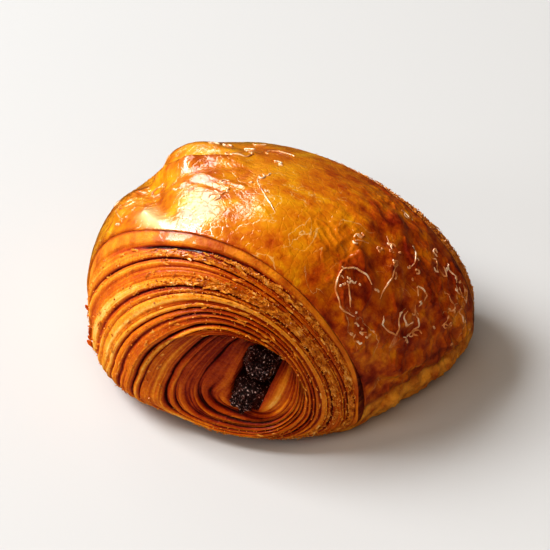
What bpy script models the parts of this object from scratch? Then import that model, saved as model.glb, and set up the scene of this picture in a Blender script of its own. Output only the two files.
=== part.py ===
# Pain au chocolat: a sheet of laminated dough rolled round two chocolate batons and baked.
# The roll's axis runs along Y and its front spiral faces -Y. +Z is up, and the roll rests on z = 0.
# The roll is one closed surface made of four grids: the front spiral, the crust, the back spiral
# and the hollow that runs through from end to end and holds the batons.

from math import cos, pi, radians, sin

import bmesh
import bpy
import numpy as np
from mathutils import Vector, noise

MM = 0.001

# Moves the whole, so that its box is centred on the origin
SHIFT_X = -1.12 * MM
SHIFT_Y = 0.06 * MM

# The roll's outer form, a rounded box with a domed top
HALF_WIDTH = 47.9 * MM
HALF_LENGTH = 43.7 * MM
HEIGHT = 57.5 * MM
WIDEST_HEIGHT = 12.7 * MM
TOP_ROUNDNESS = 1.95
SIDE_ROUNDNESS = 3.64
FRONT_ROUNDNESS = 2.17
BACK_ROUNDNESS = 2.85
SKEW = 0.085
BACK_WIDER = 0.17
BACK_LOWER = 0.26
UNDERSIDE_CUT = 1.3
DOME_ROUNDS = 8

# The rim, where the crust ends and the cut spiral begins, as an angle along the roll's side profile
FRONT_RIM = radians(24)
FRONT_RIM_RISE = radians(10.5)
FRONT_RIM_TOP = radians(108)
FRONT_RIM_DIP = radians(5)
FRONT_RIM_DIP_WIDTH = radians(28)
BACK_RIM = radians(28)
BACK_RIM_RISE = radians(6)
BACK_RIM_TOP = radians(80)
RIM_RISE_WIDTH = radians(45)

# The batons, and the hollow that holds them, given at each end by its centre (x, z)
BATON_WIDTH = 8.8 * MM
BATON_THICKNESS = 8.0 * MM
BATON_CORNER = 1.8 * MM
BATON_FRONT_Y = {"upper": -32.2 * MM, "lower": -33.5 * MM}
BATON_BACK_Y = 38.0 * MM
BATON_SPACING_FRONT = 11.6 * MM
BATON_SPACING_BACK = 8.5 * MM
BATON_CRUMBLE = 0.8 * MM
CRUMB_SPAN = 2.5 * MM
HOLLOW_CLEARANCE = 0.8 * MM
HOLLOW_FRONT_Y = -35.0 * MM
FRONT_HOLLOW = (17.1 * MM, 20.3 * MM)
BACK_HOLLOW = (12.5 * MM, 19.0 * MM)
HOLLOW_TILT = radians(13)
HOLLOW_SQUARENESS = (0.5, 0.6)
OVAL = (7.2 * MM, 11.0 * MM)
OVAL_FROM = 0.12

# The spiral: how far out the sheet's inner side has come, as a share of the way from the hollow
# to the rim, is START + GROWTH * turns + QUICKENING * turns ** 2. It runs flatter over the top,
# where it also has a hump, and the outermost turns run out under the roll.
SPIRAL_START = -0.03
SPIRAL_GROWTH = 0.135
SPIRAL_QUICKENING = 0.003
SPIRAL_FLATTER_TOP = 0.11
SPIRAL_HUMP = 0.3
SPIRAL_HUMP_AT = radians(101)
SPIRAL_HUMP_WIDTH = radians(32)
SPIRAL_WANDER = 0.12
CUT_BELOW = 0.45
CUT_BELOW_WIDTH = radians(75)
WRAPS = range(-1, 7)

# The layers that show in the sheet's cut edge: where each starts in its thickness, how deep the
# steps between them are, where in a layer its lip stands, and the groove between two wraps
LAYER_STARTS = (0.0, 0.38, 0.7)
LAYER_DEPTH = 1.1 * MM
LAYER_VARIATION = 2.2
LIP_AT = 0.2
LIP_FALL = 1.6
GROOVE_DEPTH = 1.5 * MM
GROOVE_VARIATION = 2.5
GROOVE_OUTER_SHARE = 0.4
RELIEF_FROM = 0.05
RELIEF_TO = 0.97

# The funnel that the innermost turns make, its depth and its edge as a share of the way to the rim
FRONT_FUNNEL = 8.0 * MM
BACK_FUNNEL = 5.0 * MM
FUNNEL_EDGE = 0.25
FUNNEL_CURVE = 1.7

# The crust: its edge over the spiral, its swellings, and the dents across its top, each given by
# its two ends, its depth and its width
CRUST_EDGE = 0.9 * MM
CRUST_EDGE_SHARE = 0.012
SWELLING = 1.3 * MM
SWELLING_SPAN = 30 * MM
DENT_HEIGHTS = (30 * MM, 45 * MM)
DENTS = (
    ((-18 * MM, 16 * MM), (5 * MM, -22 * MM), 1.9 * MM, 6.5 * MM),
    ((-44 * MM, 12 * MM), (-17 * MM, -23 * MM), 1.6 * MM, 5.0 * MM),
)

# The crust's low side on +X, where the sheet's end is tucked under: a seam, and a foot drawn in
SIDE_FROM = 0.5
SIDE_FULL = 0.8
SEAM_HEIGHT = 9.5 * MM
SEAM_DEPTH = 1.6 * MM
SEAM_WIDTH = 2.6 * MM
FOOT_TUCK = 0.6 * MM
FOOT_TOP = 21 * MM

# How finely the surface is drawn
POINTS_ROUND = 60
STEPS_IN_LAYER = (0.0, LIP_AT)
CRUST_RINGS = 12
HOLLOW_RINGS = 3
WELD = 0.002 * MM


def signed_power(value, power):
    return np.sign(value) * np.abs(value) ** power


def smooth(low, high, value):
    share = np.clip((value - low) / (high - low), 0.0, 1.0)
    return share * share * (3 - 2 * share)


def bell(distance, width):
    return np.exp(-((distance / width) ** 2))


def soft_noise(x, y, z):
    x, y, z = np.broadcast_arrays(x, y, z)
    values = [noise.noise(point) for point in zip(x.ravel(), y.ravel(), z.ravel())]
    return np.array(values).reshape(x.shape)


# A ring's shape seen along the roll's axis, about the axis at WIDEST_HEIGHT
def section(angle):
    upper = np.sin(angle) >= 0
    roundness = np.where(upper, TOP_ROUNDNESS, SIDE_ROUNDNESS)
    reach = np.where(upper, HEIGHT - WIDEST_HEIGHT, WIDEST_HEIGHT * UNDERSIDE_CUT)
    x = HALF_WIDTH * signed_power(np.cos(angle), 2 / roundness)
    z = reach * signed_power(np.sin(angle), 2 / roundness)
    return x, z


# Angles from one underside middle round to the next, evenly spaced along the ring
def even_angles(count):
    angle = np.linspace(-pi / 2, 3 * pi / 2, 4001)
    x, z = section(angle)
    z = np.maximum(z, -WIDEST_HEIGHT)
    along = np.concatenate([[0], np.cumsum(np.hypot(np.diff(x), np.diff(z)))])
    return np.interp(np.arange(count) / count * along[-1], along, angle)


def rim_angle(angle, at_back):
    if at_back:
        return BACK_RIM + BACK_RIM_RISE * bell(angle - BACK_RIM_TOP, RIM_RISE_WIDTH)
    rise = FRONT_RIM_RISE * bell(angle - FRONT_RIM_TOP, RIM_RISE_WIDTH)
    return FRONT_RIM + rise - FRONT_RIM_DIP * bell(angle, FRONT_RIM_DIP_WIDTH)


# The sideways slant and the change of width and height between the roll's front and back
def lean(x, y, z):
    along = y / HALF_LENGTH
    taller = np.where(z >= 0, 1 - BACK_LOWER * along, 1.0)
    return x * (1 + BACK_WIDER * along) + SKEW * y, WIDEST_HEIGHT + z * taller


def unlean(x, y, z):
    along = y / HALF_LENGTH
    z = z - WIDEST_HEIGHT
    taller = np.where(z >= 0, 1 - BACK_LOWER * along, 1.0)
    return (x - SKEW * y) / (1 + BACK_WIDER * along), z / taller


# A point of the outer form: profile runs from -90 degrees, the front pole, to +90 degrees
def body_point(profile, angle):
    roundness = np.where(profile < 0, FRONT_ROUNDNESS, BACK_ROUNDNESS)
    reach = np.cos(profile) ** (2 / roundness)
    y = HALF_LENGTH * signed_power(np.sin(profile), 2 / roundness)
    x, z = section(angle)
    x, z = lean(x * reach, y, z * reach)
    return x, y, z


# The y of the domed end over a point (x, z), found by going round a few times
def dome_y(x, z, at_back):
    side, end_roundness = (1, BACK_ROUNDNESS) if at_back else (-1, FRONT_ROUNDNESS)
    y = np.full(x.shape, side * HALF_LENGTH)
    for _ in range(DOME_ROUNDS):
        flat_x, flat_z = unlean(x, y, z)
        upper = flat_z >= 0
        roundness = np.where(upper, TOP_ROUNDNESS, SIDE_ROUNDNESS)
        reach = np.where(upper, HEIGHT - WIDEST_HEIGHT, WIDEST_HEIGHT * UNDERSIDE_CUT)
        radius = np.abs(flat_x / HALF_WIDTH) ** roundness + np.abs(flat_z / reach) ** roundness
        radius = np.clip(radius ** (1 / roundness), 0, 0.9995)
        y = side * HALF_LENGTH * (1 - radius**end_roundness) ** (1 / end_roundness)
    return y


# The hollow's outline: a rounded slot that clears both batons, which turns oval as it opens out
def hollow_outline(angle, at_back, opened):
    centre = BACK_HOLLOW if at_back else FRONT_HOLLOW
    spacing = BATON_SPACING_BACK if at_back else BATON_SPACING_FRONT
    half_width = BATON_WIDTH / 2 + HOLLOW_CLEARANCE
    half_height = (spacing + BATON_THICKNESS) / 2 + HOLLOW_CLEARANCE
    oval_width, oval_height = OVAL
    x = half_width * signed_power(np.cos(angle), HOLLOW_SQUARENESS[0]) * (1 - opened)
    z = half_height * signed_power(np.sin(angle), HOLLOW_SQUARENESS[1]) * (1 - opened)
    x = x + oval_width * np.cos(angle) * opened
    z = z + oval_height * np.sin(angle) * opened
    return (
        centre[0] + x * cos(HOLLOW_TILT) + z * sin(HOLLOW_TILT),
        centre[1] - x * sin(HOLLOW_TILT) + z * cos(HOLLOW_TILT),
    )


# The way the domed end faces over a point (x, z)
def dome_normal(x, z, at_back):
    step = 0.2 * MM
    slope_x = (dome_y(x + step, z, at_back) - dome_y(x - step, z, at_back)) / (2 * step)
    slope_z = (dome_y(x, z + step, at_back) - dome_y(x, z - step, at_back)) / (2 * step)
    side = 1 if at_back else -1
    normal = np.stack([-side * slope_x, side * np.ones(x.shape), -side * slope_z], axis=-1)
    return normal / np.linalg.norm(normal, axis=-1, keepdims=True)


# The rows of one wrap after another: the wrap, the layer, how far through the layer, and how far
# through the sheet
def sheet_rows():
    edges = LAYER_STARTS + (1.0,)
    rows = [
        (wrap, layer, step, edges[layer] + (edges[layer + 1] - edges[layer]) * step)
        for wrap in WRAPS
        for layer in range(len(LAYER_STARTS))
        for step in STEPS_IN_LAYER
    ]
    return (np.array(column)[:, None] for column in zip(*rows))


# How far out the sheet has come after so many turns
def spiral_share(turns, angle, seed):
    wander = soft_noise(np.cos(angle), np.sin(angle), turns + seed)
    hump = bell(angle - SPIRAL_HUMP_AT, SPIRAL_HUMP_WIDTH)
    turns = turns + SPIRAL_WANDER * wander + SPIRAL_HUMP * hump
    share = SPIRAL_START + SPIRAL_GROWTH * turns + SPIRAL_QUICKENING * turns**2
    below = bell(angle + pi / 2, CUT_BELOW_WIDTH) + bell(angle - 3 * pi / 2, CUT_BELOW_WIDTH)
    return np.clip(share * (1 + CUT_BELOW * below), 0, 1)


# How far the cut layers lie below the domed end: each layer falls away from its lip, and a groove
# parts one wrap from the next
def layer_relief(along, layer, step, share, seed):
    variation = soft_noise(LAYER_VARIATION * along, 5.3 * layer, seed + 3.1)
    depth = LAYER_DEPTH * np.clip(0.75 + variation, 0.2, 1.5)
    lip = smooth(0, LIP_AT, step) * (1 - step**LIP_FALL)
    variation = soft_noise(GROOVE_VARIATION * along, 1.7, seed + 0.3)
    groove_depth = GROOVE_DEPTH * np.clip(0.7 + variation, 0.2, 1.3)
    inner = (layer == 0) * (step == 0)
    outer = (layer == len(LAYER_STARTS) - 1) * smooth(0.4, 1, step)
    relief = depth * (1 - lip) + groove_depth * (inner + GROOVE_OUTER_SHARE * outer)
    return relief * smooth(0, RELIEF_FROM, share) * (1 - smooth(RELIEF_TO, 1, share))


# One end of the roll. Its rows follow the sheet: a row keeps its place in the sheet's thickness all
# the way round, and after a turn it goes on as the row one wrap further out. Rows that would lie
# inside the hollow or beyond the rim collapse onto the hollow's edge or onto the rim.
def end_rows(angle, at_back):
    funnel = BACK_FUNNEL if at_back else FRONT_FUNNEL
    seed = 40.0 if at_back else 0.0
    side = 1 if at_back else -1
    wrap, layer, step, through = sheet_rows()
    turn = (angle + pi / 2) / (2 * pi)
    along = wrap + turn + SPIRAL_FLATTER_TOP * np.sin(2 * pi * turn)
    share = spiral_share(along + through, angle, seed)
    mouth_x, mouth_z = hollow_outline(angle, at_back, smooth(0, OVAL_FROM, share))
    rim_x, rim_y, rim_z = body_point(side * rim_angle(angle, at_back), angle)
    x = mouth_x + (rim_x - mouth_x) * share
    z = mouth_z + (rim_z - mouth_z) * share
    sunk = funnel * (1 - np.clip(share / FUNNEL_EDGE, 0, 1) ** FUNNEL_CURVE)
    y = np.where(share < 1, dome_y(x, z, at_back), rim_y) - side * sunk
    relief = layer_relief(along, layer, step, share, seed)
    return np.stack([x, y, z], axis=-1) - dome_normal(x, z, at_back) * relief[..., None]


def crust_rings(angle):
    front, back = -rim_angle(angle, False), rim_angle(angle, True)
    shares = np.linspace(0, 1, CRUST_RINGS)
    shares[0] = CRUST_EDGE_SHARE
    shares[-1] = 1 - CRUST_EDGE_SHARE
    rings = np.array(
        [np.stack(body_point(front + (back - front) * share, angle), axis=-1) for share in shares]
    )
    inside = np.sin(pi * shares[:, None]) ** 0.5
    relief = CRUST_EDGE + inside * crust_relief(*np.moveaxis(rings, -1, 0))
    return rings + outward(rings) * relief[..., None]


def crust_relief(x, y, z):
    swelling = SWELLING * soft_noise(x / SWELLING_SPAN, y / SWELLING_SPAN, z / SWELLING_SPAN)
    top = smooth(*DENT_HEIGHTS, z)
    dent = sum(
        depth * top * bell(distance_to_line(x, y, start, end), width)
        for start, end, depth, width in DENTS
    )
    side = smooth(SIDE_FROM, SIDE_FULL, x / HALF_WIDTH)
    seam = SEAM_DEPTH * bell(z - SEAM_HEIGHT, SEAM_WIDTH)
    tuck = FOOT_TUCK * smooth(FOOT_TOP, 0, z)
    return swelling - dent - side * (seam + tuck)


def distance_to_line(x, y, start, end):
    (x0, y0), (x1, y1) = start, end
    length_squared = (x1 - x0) ** 2 + (y1 - y0) ** 2
    share = np.clip(((x - x0) * (x1 - x0) + (y - y0) * (y1 - y0)) / length_squared, 0, 1)
    return np.hypot(x - x0 - share * (x1 - x0), y - y0 - share * (y1 - y0))


def outward(rings):
    next_ring = np.gradient(rings, axis=0)
    next_point = np.roll(rings, -1, axis=1) - np.roll(rings, 1, axis=1)
    normal = np.cross(next_ring, next_point)
    return normal / np.linalg.norm(normal, axis=-1, keepdims=True)


# Quads between neighbouring rows. The last column joins the first, shift rows further on.
def add_grid(mesh, rows, shift=0):
    rows = rows.copy()
    rows[..., 2] = np.maximum(rows[..., 2], 0.0)
    points = [[mesh.verts.new(point) for point in row] for row in rows]
    row_count, point_count = rows.shape[:2]
    for i in range(row_count - 1):
        for j in range(point_count):
            step = shift if j == point_count - 1 else 0
            if i + 1 + step >= row_count:
                continue
            k = (j + 1) % point_count
            here, beyond = points[i], points[i + 1]
            mesh.faces.new((here[j], points[i + step][k], points[i + 1 + step][k], beyond[j]))


def roll(name):
    angle = even_angles(POINTS_ROUND)
    front = end_rows(angle, False)
    back = end_rows(angle, True)
    crust = np.concatenate([front[-1:], crust_rings(angle), back[-1:]])
    shares = np.linspace(0, 1, HOLLOW_RINGS + 2)[:, None, None]
    hollow = back[0] + (front[0] - back[0]) * shares
    mesh = bmesh.new()
    rows_in_wrap = len(LAYER_STARTS) * len(STEPS_IN_LAYER)
    add_grid(mesh, front, shift=rows_in_wrap)
    add_grid(mesh, back, shift=rows_in_wrap)
    add_grid(mesh, crust)
    add_grid(mesh, hollow)
    bmesh.ops.remove_doubles(mesh, verts=mesh.verts, dist=WELD)
    bmesh.ops.dissolve_degenerate(mesh, edges=mesh.edges, dist=WELD)
    loose = [vertex for vertex in mesh.verts if not vertex.link_faces]
    bmesh.ops.delete(mesh, geom=loose, context="VERTS")
    bmesh.ops.recalc_face_normals(mesh, faces=mesh.faces)
    return finish(name, mesh)


# A bar with softened edges and a crumbled face at each end
def baton(place):
    front = BATON_FRONT_Y[place]
    length = BATON_BACK_Y - front
    mesh = bmesh.new()
    bmesh.ops.create_cube(mesh, size=1)
    bmesh.ops.scale(mesh, verts=mesh.verts, vec=(BATON_WIDTH, length, BATON_THICKNESS))
    bmesh.ops.bevel(
        mesh,
        geom=mesh.edges[:],
        offset=BATON_CORNER,
        segments=2,
        profile=0.5,
        affect="EDGES",
    )
    ends = [face for face in mesh.faces if abs(face.normal.y) > 0.5]
    edges = list({edge for face in ends for edge in face.edges})
    bmesh.ops.subdivide_edges(mesh, edges=edges, cuts=2, use_grid_fill=True)
    bmesh.ops.triangulate(mesh, faces=mesh.faces)
    side = 1 if place == "upper" else -1
    for vertex in mesh.verts:
        crumb = noise.noise(vertex.co / CRUMB_SPAN + Vector((0, 5 * side, 0)))
        if abs(vertex.co.y) > length / 2 - BATON_CORNER:
            vertex.co.y += BATON_CRUMBLE * crumb
        vertex.co.y += (BATON_BACK_Y + front) / 2
        vertex.co = in_hollow(vertex.co, side)
    return finish("chocolate_baton_" + place, mesh)


# Takes a point of a bar along Y to its place in the tilted hollow, above or below the other bar
def in_hollow(point, side):
    share = (point.y - HOLLOW_FRONT_Y) / (BATON_BACK_Y - HOLLOW_FRONT_Y)
    spacing = BATON_SPACING_FRONT + (BATON_SPACING_BACK - BATON_SPACING_FRONT) * share
    across, up = point.x, point.z + side * spacing / 2
    centre_x = FRONT_HOLLOW[0] + (BACK_HOLLOW[0] - FRONT_HOLLOW[0]) * share
    centre_z = FRONT_HOLLOW[1] + (BACK_HOLLOW[1] - FRONT_HOLLOW[1]) * share
    return Vector(
        (
            centre_x + across * cos(HOLLOW_TILT) + up * sin(HOLLOW_TILT),
            point.y,
            centre_z - across * sin(HOLLOW_TILT) + up * cos(HOLLOW_TILT),
        )
    )


def finish(name, mesh):
    bmesh.ops.translate(mesh, verts=mesh.verts, vec=(SHIFT_X, SHIFT_Y, 0))
    data = bpy.data.meshes.new(name)
    mesh.to_mesh(data)
    mesh.free()
    data.shade_smooth()
    data.set_sharp_from_angle(angle=radians(50))
    solid = bpy.data.objects.new(name, data)
    bpy.context.scene.collection.objects.link(solid)
    return solid


def material(name, colour, roughness):
    made = bpy.data.materials.new(name)
    made.use_nodes = True
    shader = made.node_tree.nodes["Principled BSDF"]
    shader.inputs["Base Color"].default_value = (*colour, 1)
    shader.inputs["Roughness"].default_value = roughness
    shader.inputs["Metallic"].default_value = 0.0
    return made


def main():
    for old in list(bpy.data.objects):
        bpy.data.objects.remove(old)
    dough = material("baked_dough", (0.48, 0.17, 0.025), 0.35)
    roll("pastry").data.materials.append(dough)
    chocolate = material("dark_chocolate", (0.022, 0.008, 0.004), 0.45)
    for place in BATON_FRONT_Y:
        baton(place).data.materials.append(chocolate)


main()
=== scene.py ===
from math import cos, pi, radians, sin
from types import SimpleNamespace

import bmesh
import bpy
import numpy as np
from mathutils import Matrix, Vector, bvhtree, noise


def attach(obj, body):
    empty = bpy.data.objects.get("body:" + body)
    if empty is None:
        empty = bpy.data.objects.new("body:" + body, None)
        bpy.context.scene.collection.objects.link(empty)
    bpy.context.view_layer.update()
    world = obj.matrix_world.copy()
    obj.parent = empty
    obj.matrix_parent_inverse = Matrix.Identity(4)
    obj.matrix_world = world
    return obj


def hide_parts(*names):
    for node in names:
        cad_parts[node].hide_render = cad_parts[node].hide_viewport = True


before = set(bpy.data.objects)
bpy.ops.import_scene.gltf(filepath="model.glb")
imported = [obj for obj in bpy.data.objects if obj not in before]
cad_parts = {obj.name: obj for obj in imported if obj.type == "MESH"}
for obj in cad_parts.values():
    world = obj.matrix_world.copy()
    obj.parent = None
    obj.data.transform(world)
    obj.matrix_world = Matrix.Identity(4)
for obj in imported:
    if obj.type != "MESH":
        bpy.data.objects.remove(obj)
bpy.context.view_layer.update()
mm = 0.001
print("frame loaded")


# small helpers for shapes

def signedPower(value, power):
    return np.sign(value) * np.abs(value) ** power


def smooth(low, high, value):
    share = np.clip((value - low) / (high - low), 0.0, 1.0)
    return share * share * (3 - 2 * share)


def bell(distance, width):
    return np.exp(-((distance / width) ** 2))


def swell(value, height, middle, width):  # a soft rise to a height round a middle
    return height * bell(value - middle, width)


def softNoise(x, y, z):
    x, y, z = np.broadcast_arrays(x, y, z)
    values = [noise.noise(point) for point in zip(x.ravel(), y.ravel(), z.ravel())]
    return np.array(values).reshape(x.shape)


def uneven(middle, spread, low, high, x, y, z):  # noise round a middle value, kept within limits
    return np.clip(middle + spread * softNoise(x, y, z), low, high)


# small helpers for node trees and colours

def linearColour(hexCode):  # sRGB hex to the linear numbers that shaders take
    channels = [int(hexCode[i : i + 2], 16) / 255 for i in (1, 3, 5)]
    curve = [c / 12.92 if c <= 0.04045 else ((c + 0.055) / 1.055) ** 2.4 for c in channels]
    return (*curve, 1.0)


def setInputs(tree, node, inputs):  # sockets are linked, a node by its first one, and values are set
    for key, value in inputs.items():
        if isinstance(value, bpy.types.Node):
            value = value.outputs[0]
        if isinstance(value, bpy.types.NodeSocket):
            tree.links.new(value, node.inputs[key])
        else:
            node.inputs[key].default_value = value


def addNode(tree, kind, inputs={}, stops=(), **settings):  # one node with its settings and links
    node = tree.nodes.new(kind)
    for name, value in settings.items():
        setattr(node, name, value)
    setInputs(tree, node, inputs)
    for i, (place, colour) in enumerate(stops):
        ramp = node.color_ramp
        stop = ramp.elements[i] if i < 2 else ramp.elements.new(place)
        stop.position = place
        stop.color = linearColour(colour)
    return node


def newMaterial(name, look):  # its shader with plain values, and the marks and noises that it reads
    made = bpy.data.materials.new(name)
    made.use_nodes = True
    tree = made.node_tree
    shader = tree.nodes["Principled BSDF"]
    setInputs(tree, shader, look["surface"])
    where = addNode(tree, "ShaderNodeTexCoord").outputs["Object"]
    parts = {"where": where}
    for mark in look.get("marks", ()):
        parts[mark] = addNode(tree, "ShaderNodeAttribute", attribute_name=mark).outputs["Fac"]
    for pattern, (span, detail, roughness, distortion) in look.get("noises", {}).items():
        inputs = {"Vector": where, "Scale": 1 / span, "Detail": detail, "Roughness": roughness}
        parts[pattern] = addNode(tree, "ShaderNodeTexNoise", {**inputs, "Distortion": distortion})
    return made, tree, shader, parts


def newTree(name, labels):  # a geometry tree with named inputs, the piece's material the last of them
    tree = bpy.data.node_groups.new(name, "GeometryNodeTree")
    kinds = [(label, "Int" if label == "seed" else "Float") for label in labels]
    for label, kind in [("Geometry", "Geometry"), *kinds, ("finish", "Material")]:
        tree.interface.new_socket(label, in_out="INPUT", socket_type="NodeSocket" + kind)
    tree.interface.new_socket("Geometry", in_out="OUTPUT", socket_type="NodeSocketGeometry")
    return tree, addNode(tree, "NodeGroupInput").outputs


def endTree(tree, geometry, finish):  # real mesh with its material
    real = addNode(tree, "GeometryNodeRealizeInstances", {0: geometry})
    finished = addNode(tree, "GeometryNodeSetMaterial", {"Geometry": real, "Material": finish})
    addNode(tree, "NodeGroupOutput", {0: finished})
    return tree


def withNodes(piece, tree, sizes, finish):  # runs a tree on a piece and keeps the plain mesh
    values = {**sizes, "finish": finish}
    modifier = piece.modifiers.new("nodes", "NODES")
    modifier.node_group = tree
    for socket in tree.interface.items_tree:
        if socket.in_out == "INPUT" and socket.name in values:
            modifier[socket.identifier] = values[socket.name]
    graph = bpy.context.evaluated_depsgraph_get()
    data = bpy.data.meshes.new_from_object(piece.evaluated_get(graph), depsgraph=graph)
    piece.modifiers.clear()
    old = piece.data
    piece.data = data
    bpy.data.meshes.remove(old)
    data.name = piece.name
    print(piece.name, len(data.polygons), "faces")
    return piece


def addObject(name, data):
    made = bpy.data.objects.new(name, data)
    bpy.context.scene.collection.objects.link(made)
    return made


# the roll's outer form, the same as the solid's

roll = {
    "shift": (-1.12 * mm, 0.06 * mm, 0.0),  # moves the whole so that its box is centred
    "halfWidth": 47.9 * mm,
    "halfLength": 43.7 * mm,
    "height": 57.5 * mm,
    "widestHeight": 12.7 * mm,
    "topRoundness": 1.95,
    "sideRoundness": 3.64,
    "frontRoundness": 2.17,
    "backRoundness": 2.85,
    "skew": 0.085,
    "backWider": 0.17,
    "backLower": 0.26,
    "undersideCut": 1.3,
    "domeRounds": 8,
    "domeReach": 0.9995,
    "frontRim": (radians(24), radians(10.5), radians(108)),  # base, rise, where the rise peaks
    "frontRimDip": (radians(5), radians(28)),
    "backRim": (radians(28), radians(6), radians(80)),
    "rimRiseWidth": radians(45),
}


def ringForm(upper):  # how round a ring is over and under its widest place, and how far it reaches
    down, up = roll["widestHeight"] * roll["undersideCut"], roll["height"] - roll["widestHeight"]
    return np.where(upper, roll["topRoundness"], roll["sideRoundness"]), np.where(upper, up, down)


def section(angle):  # a ring seen along the roll's axis
    power, reach = ringForm(np.sin(angle) >= 0)
    x = roll["halfWidth"] * signedPower(np.cos(angle), 2 / power)
    return x, reach * signedPower(np.sin(angle), 2 / power)


def ringAngles(count, crowding=0.0):  # from the underside's middle round to it again, closer on top
    angle = np.linspace(-pi / 2, 3 * pi / 2, 4001)
    x, z = section(angle)
    z = np.maximum(z, -roll["widestHeight"])
    between = (angle[1:] + angle[:-1]) / 2
    closer = crowding * smooth(radians(-25), radians(-5), between)
    closer = 1 + closer * smooth(radians(155), radians(130), between)
    along = np.concatenate([[0], np.cumsum(np.hypot(np.diff(x), np.diff(z)) * closer)])
    return np.interp(np.arange(count) / count * along[-1], along, angle)


def rimAngle(angle, atBack):
    base, rise, top = roll["backRim"] if atBack else roll["frontRim"]
    rim = base + rise * bell(angle - top, roll["rimRiseWidth"])
    dip, dipWidth = roll["frontRimDip"]
    return rim if atBack else rim - dip * bell(angle, dipWidth)


def lean(x, y, z):
    along = y / roll["halfLength"]
    taller = np.where(z >= 0, 1 - roll["backLower"] * along, 1.0)
    wider = 1 + roll["backWider"] * along
    return x * wider + roll["skew"] * y, roll["widestHeight"] + z * taller


def unlean(x, y, z):
    along = y / roll["halfLength"]
    z = z - roll["widestHeight"]
    taller = np.where(z >= 0, 1 - roll["backLower"] * along, 1.0)
    return (x - roll["skew"] * y) / (1 + roll["backWider"] * along), z / taller


def bodyPoint(profile, angle):  # profile runs from -90 degrees, the front pole, to +90
    power = np.where(profile < 0, roll["frontRoundness"], roll["backRoundness"])
    reach = np.cos(profile) ** (2 / power)
    y = roll["halfLength"] * signedPower(np.sin(profile), 2 / power)
    x, z = section(angle)
    x, z = lean(x * reach, y, z * reach)
    return x, y, z


def domeY(x, z, atBack):  # the y of the domed end over (x, z)
    side, power = (1, roll["backRoundness"]) if atBack else (-1, roll["frontRoundness"])
    y = np.full(x.shape, side * roll["halfLength"])
    for _ in range(roll["domeRounds"]):
        flatX, flatZ = unlean(x, y, z)
        ringPower, reach = ringForm(flatZ >= 0)
        radius = np.abs(flatX / roll["halfWidth"]) ** ringPower + np.abs(flatZ / reach) ** ringPower
        radius = np.clip(radius ** (1 / ringPower), 0, roll["domeReach"])
        y = side * roll["halfLength"] * (1 - radius**power) ** (1 / power)
    return y


def domeNormal(x, z, atBack):
    step = 0.2 * mm
    slopeX = (domeY(x + step, z, atBack) - domeY(x - step, z, atBack)) / (2 * step)
    slopeZ = (domeY(x, z + step, atBack) - domeY(x, z - step, atBack)) / (2 * step)
    side = 1 if atBack else -1
    normal = np.stack([-side * slopeX, side * np.ones(x.shape), -side * slopeZ], axis=-1)
    return normal / np.linalg.norm(normal, axis=-1, keepdims=True)


def outward(rings):
    nextRing = np.gradient(rings, axis=0)
    nextPoint = np.roll(rings, -1, axis=1) - np.roll(rings, 1, axis=1)
    normal = np.cross(nextRing, nextPoint)
    return normal / np.linalg.norm(normal, axis=-1, keepdims=True)


# the hollow and the two batons in it

batons = {
    "width": 8.8 * mm,
    "thickness": 8.0 * mm,
    "corner": 1.8 * mm,
    "squareEdges": 0.45,
    "frontY": {"upper": -32.2 * mm, "lower": -33.5 * mm},
    "backY": 38.0 * mm,
    "spacing": (11.6 * mm, 8.5 * mm),  # front and back
    "clearance": 0.35 * mm,
    "hollowFrontY": -35.0 * mm,
    "frontHollow": (17.1 * mm, 20.3 * mm),
    "backHollow": (12.5 * mm, 19.0 * mm),
    "tilt": radians(13),
    "squareness": (0.5, 0.6),
    "oval": (8.6 * mm, 11.0 * mm),  # the hollow's mouth opens to this
    "ovalFrom": 0.07,
    "worn": 0.68,  # how far the crumbled ends have shrunk
    "relief": {
        "coarse depth": 1.6 * mm,
        "coarse span": 1.8 * mm,
        "fine depth": 0.5 * mm,
        "fine span": 0.6 * mm,
        "seed": 11,
    },
}


def tilted(centre, across, up):
    tilt = batons["tilt"]
    return centre[0] + across * cos(tilt) + up * sin(tilt), centre[1] - across * sin(tilt) + up * cos(tilt)


def hollowOutline(angle, atBack, opened):
    centre = batons["backHollow"] if atBack else batons["frontHollow"]
    spacing = batons["spacing"][1 if atBack else 0]
    halfWidth = batons["width"] / 2 + batons["clearance"]
    halfHeight = (spacing + batons["thickness"]) / 2 + batons["clearance"]
    wide, high = batons["oval"]
    x = halfWidth * signedPower(np.cos(angle), batons["squareness"][0]) * (1 - opened)
    z = halfHeight * signedPower(np.sin(angle), batons["squareness"][1]) * (1 - opened)
    x = x + wide * np.cos(angle) * opened
    z = z + high * np.sin(angle) * opened
    return tilted(centre, x, z)


# the cut spirals: the sheet's layers, and the fine leaves in each layer
# shares run from 0 at the hollow to 1 at the rim; a number added to a seed only picks another noise

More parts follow.
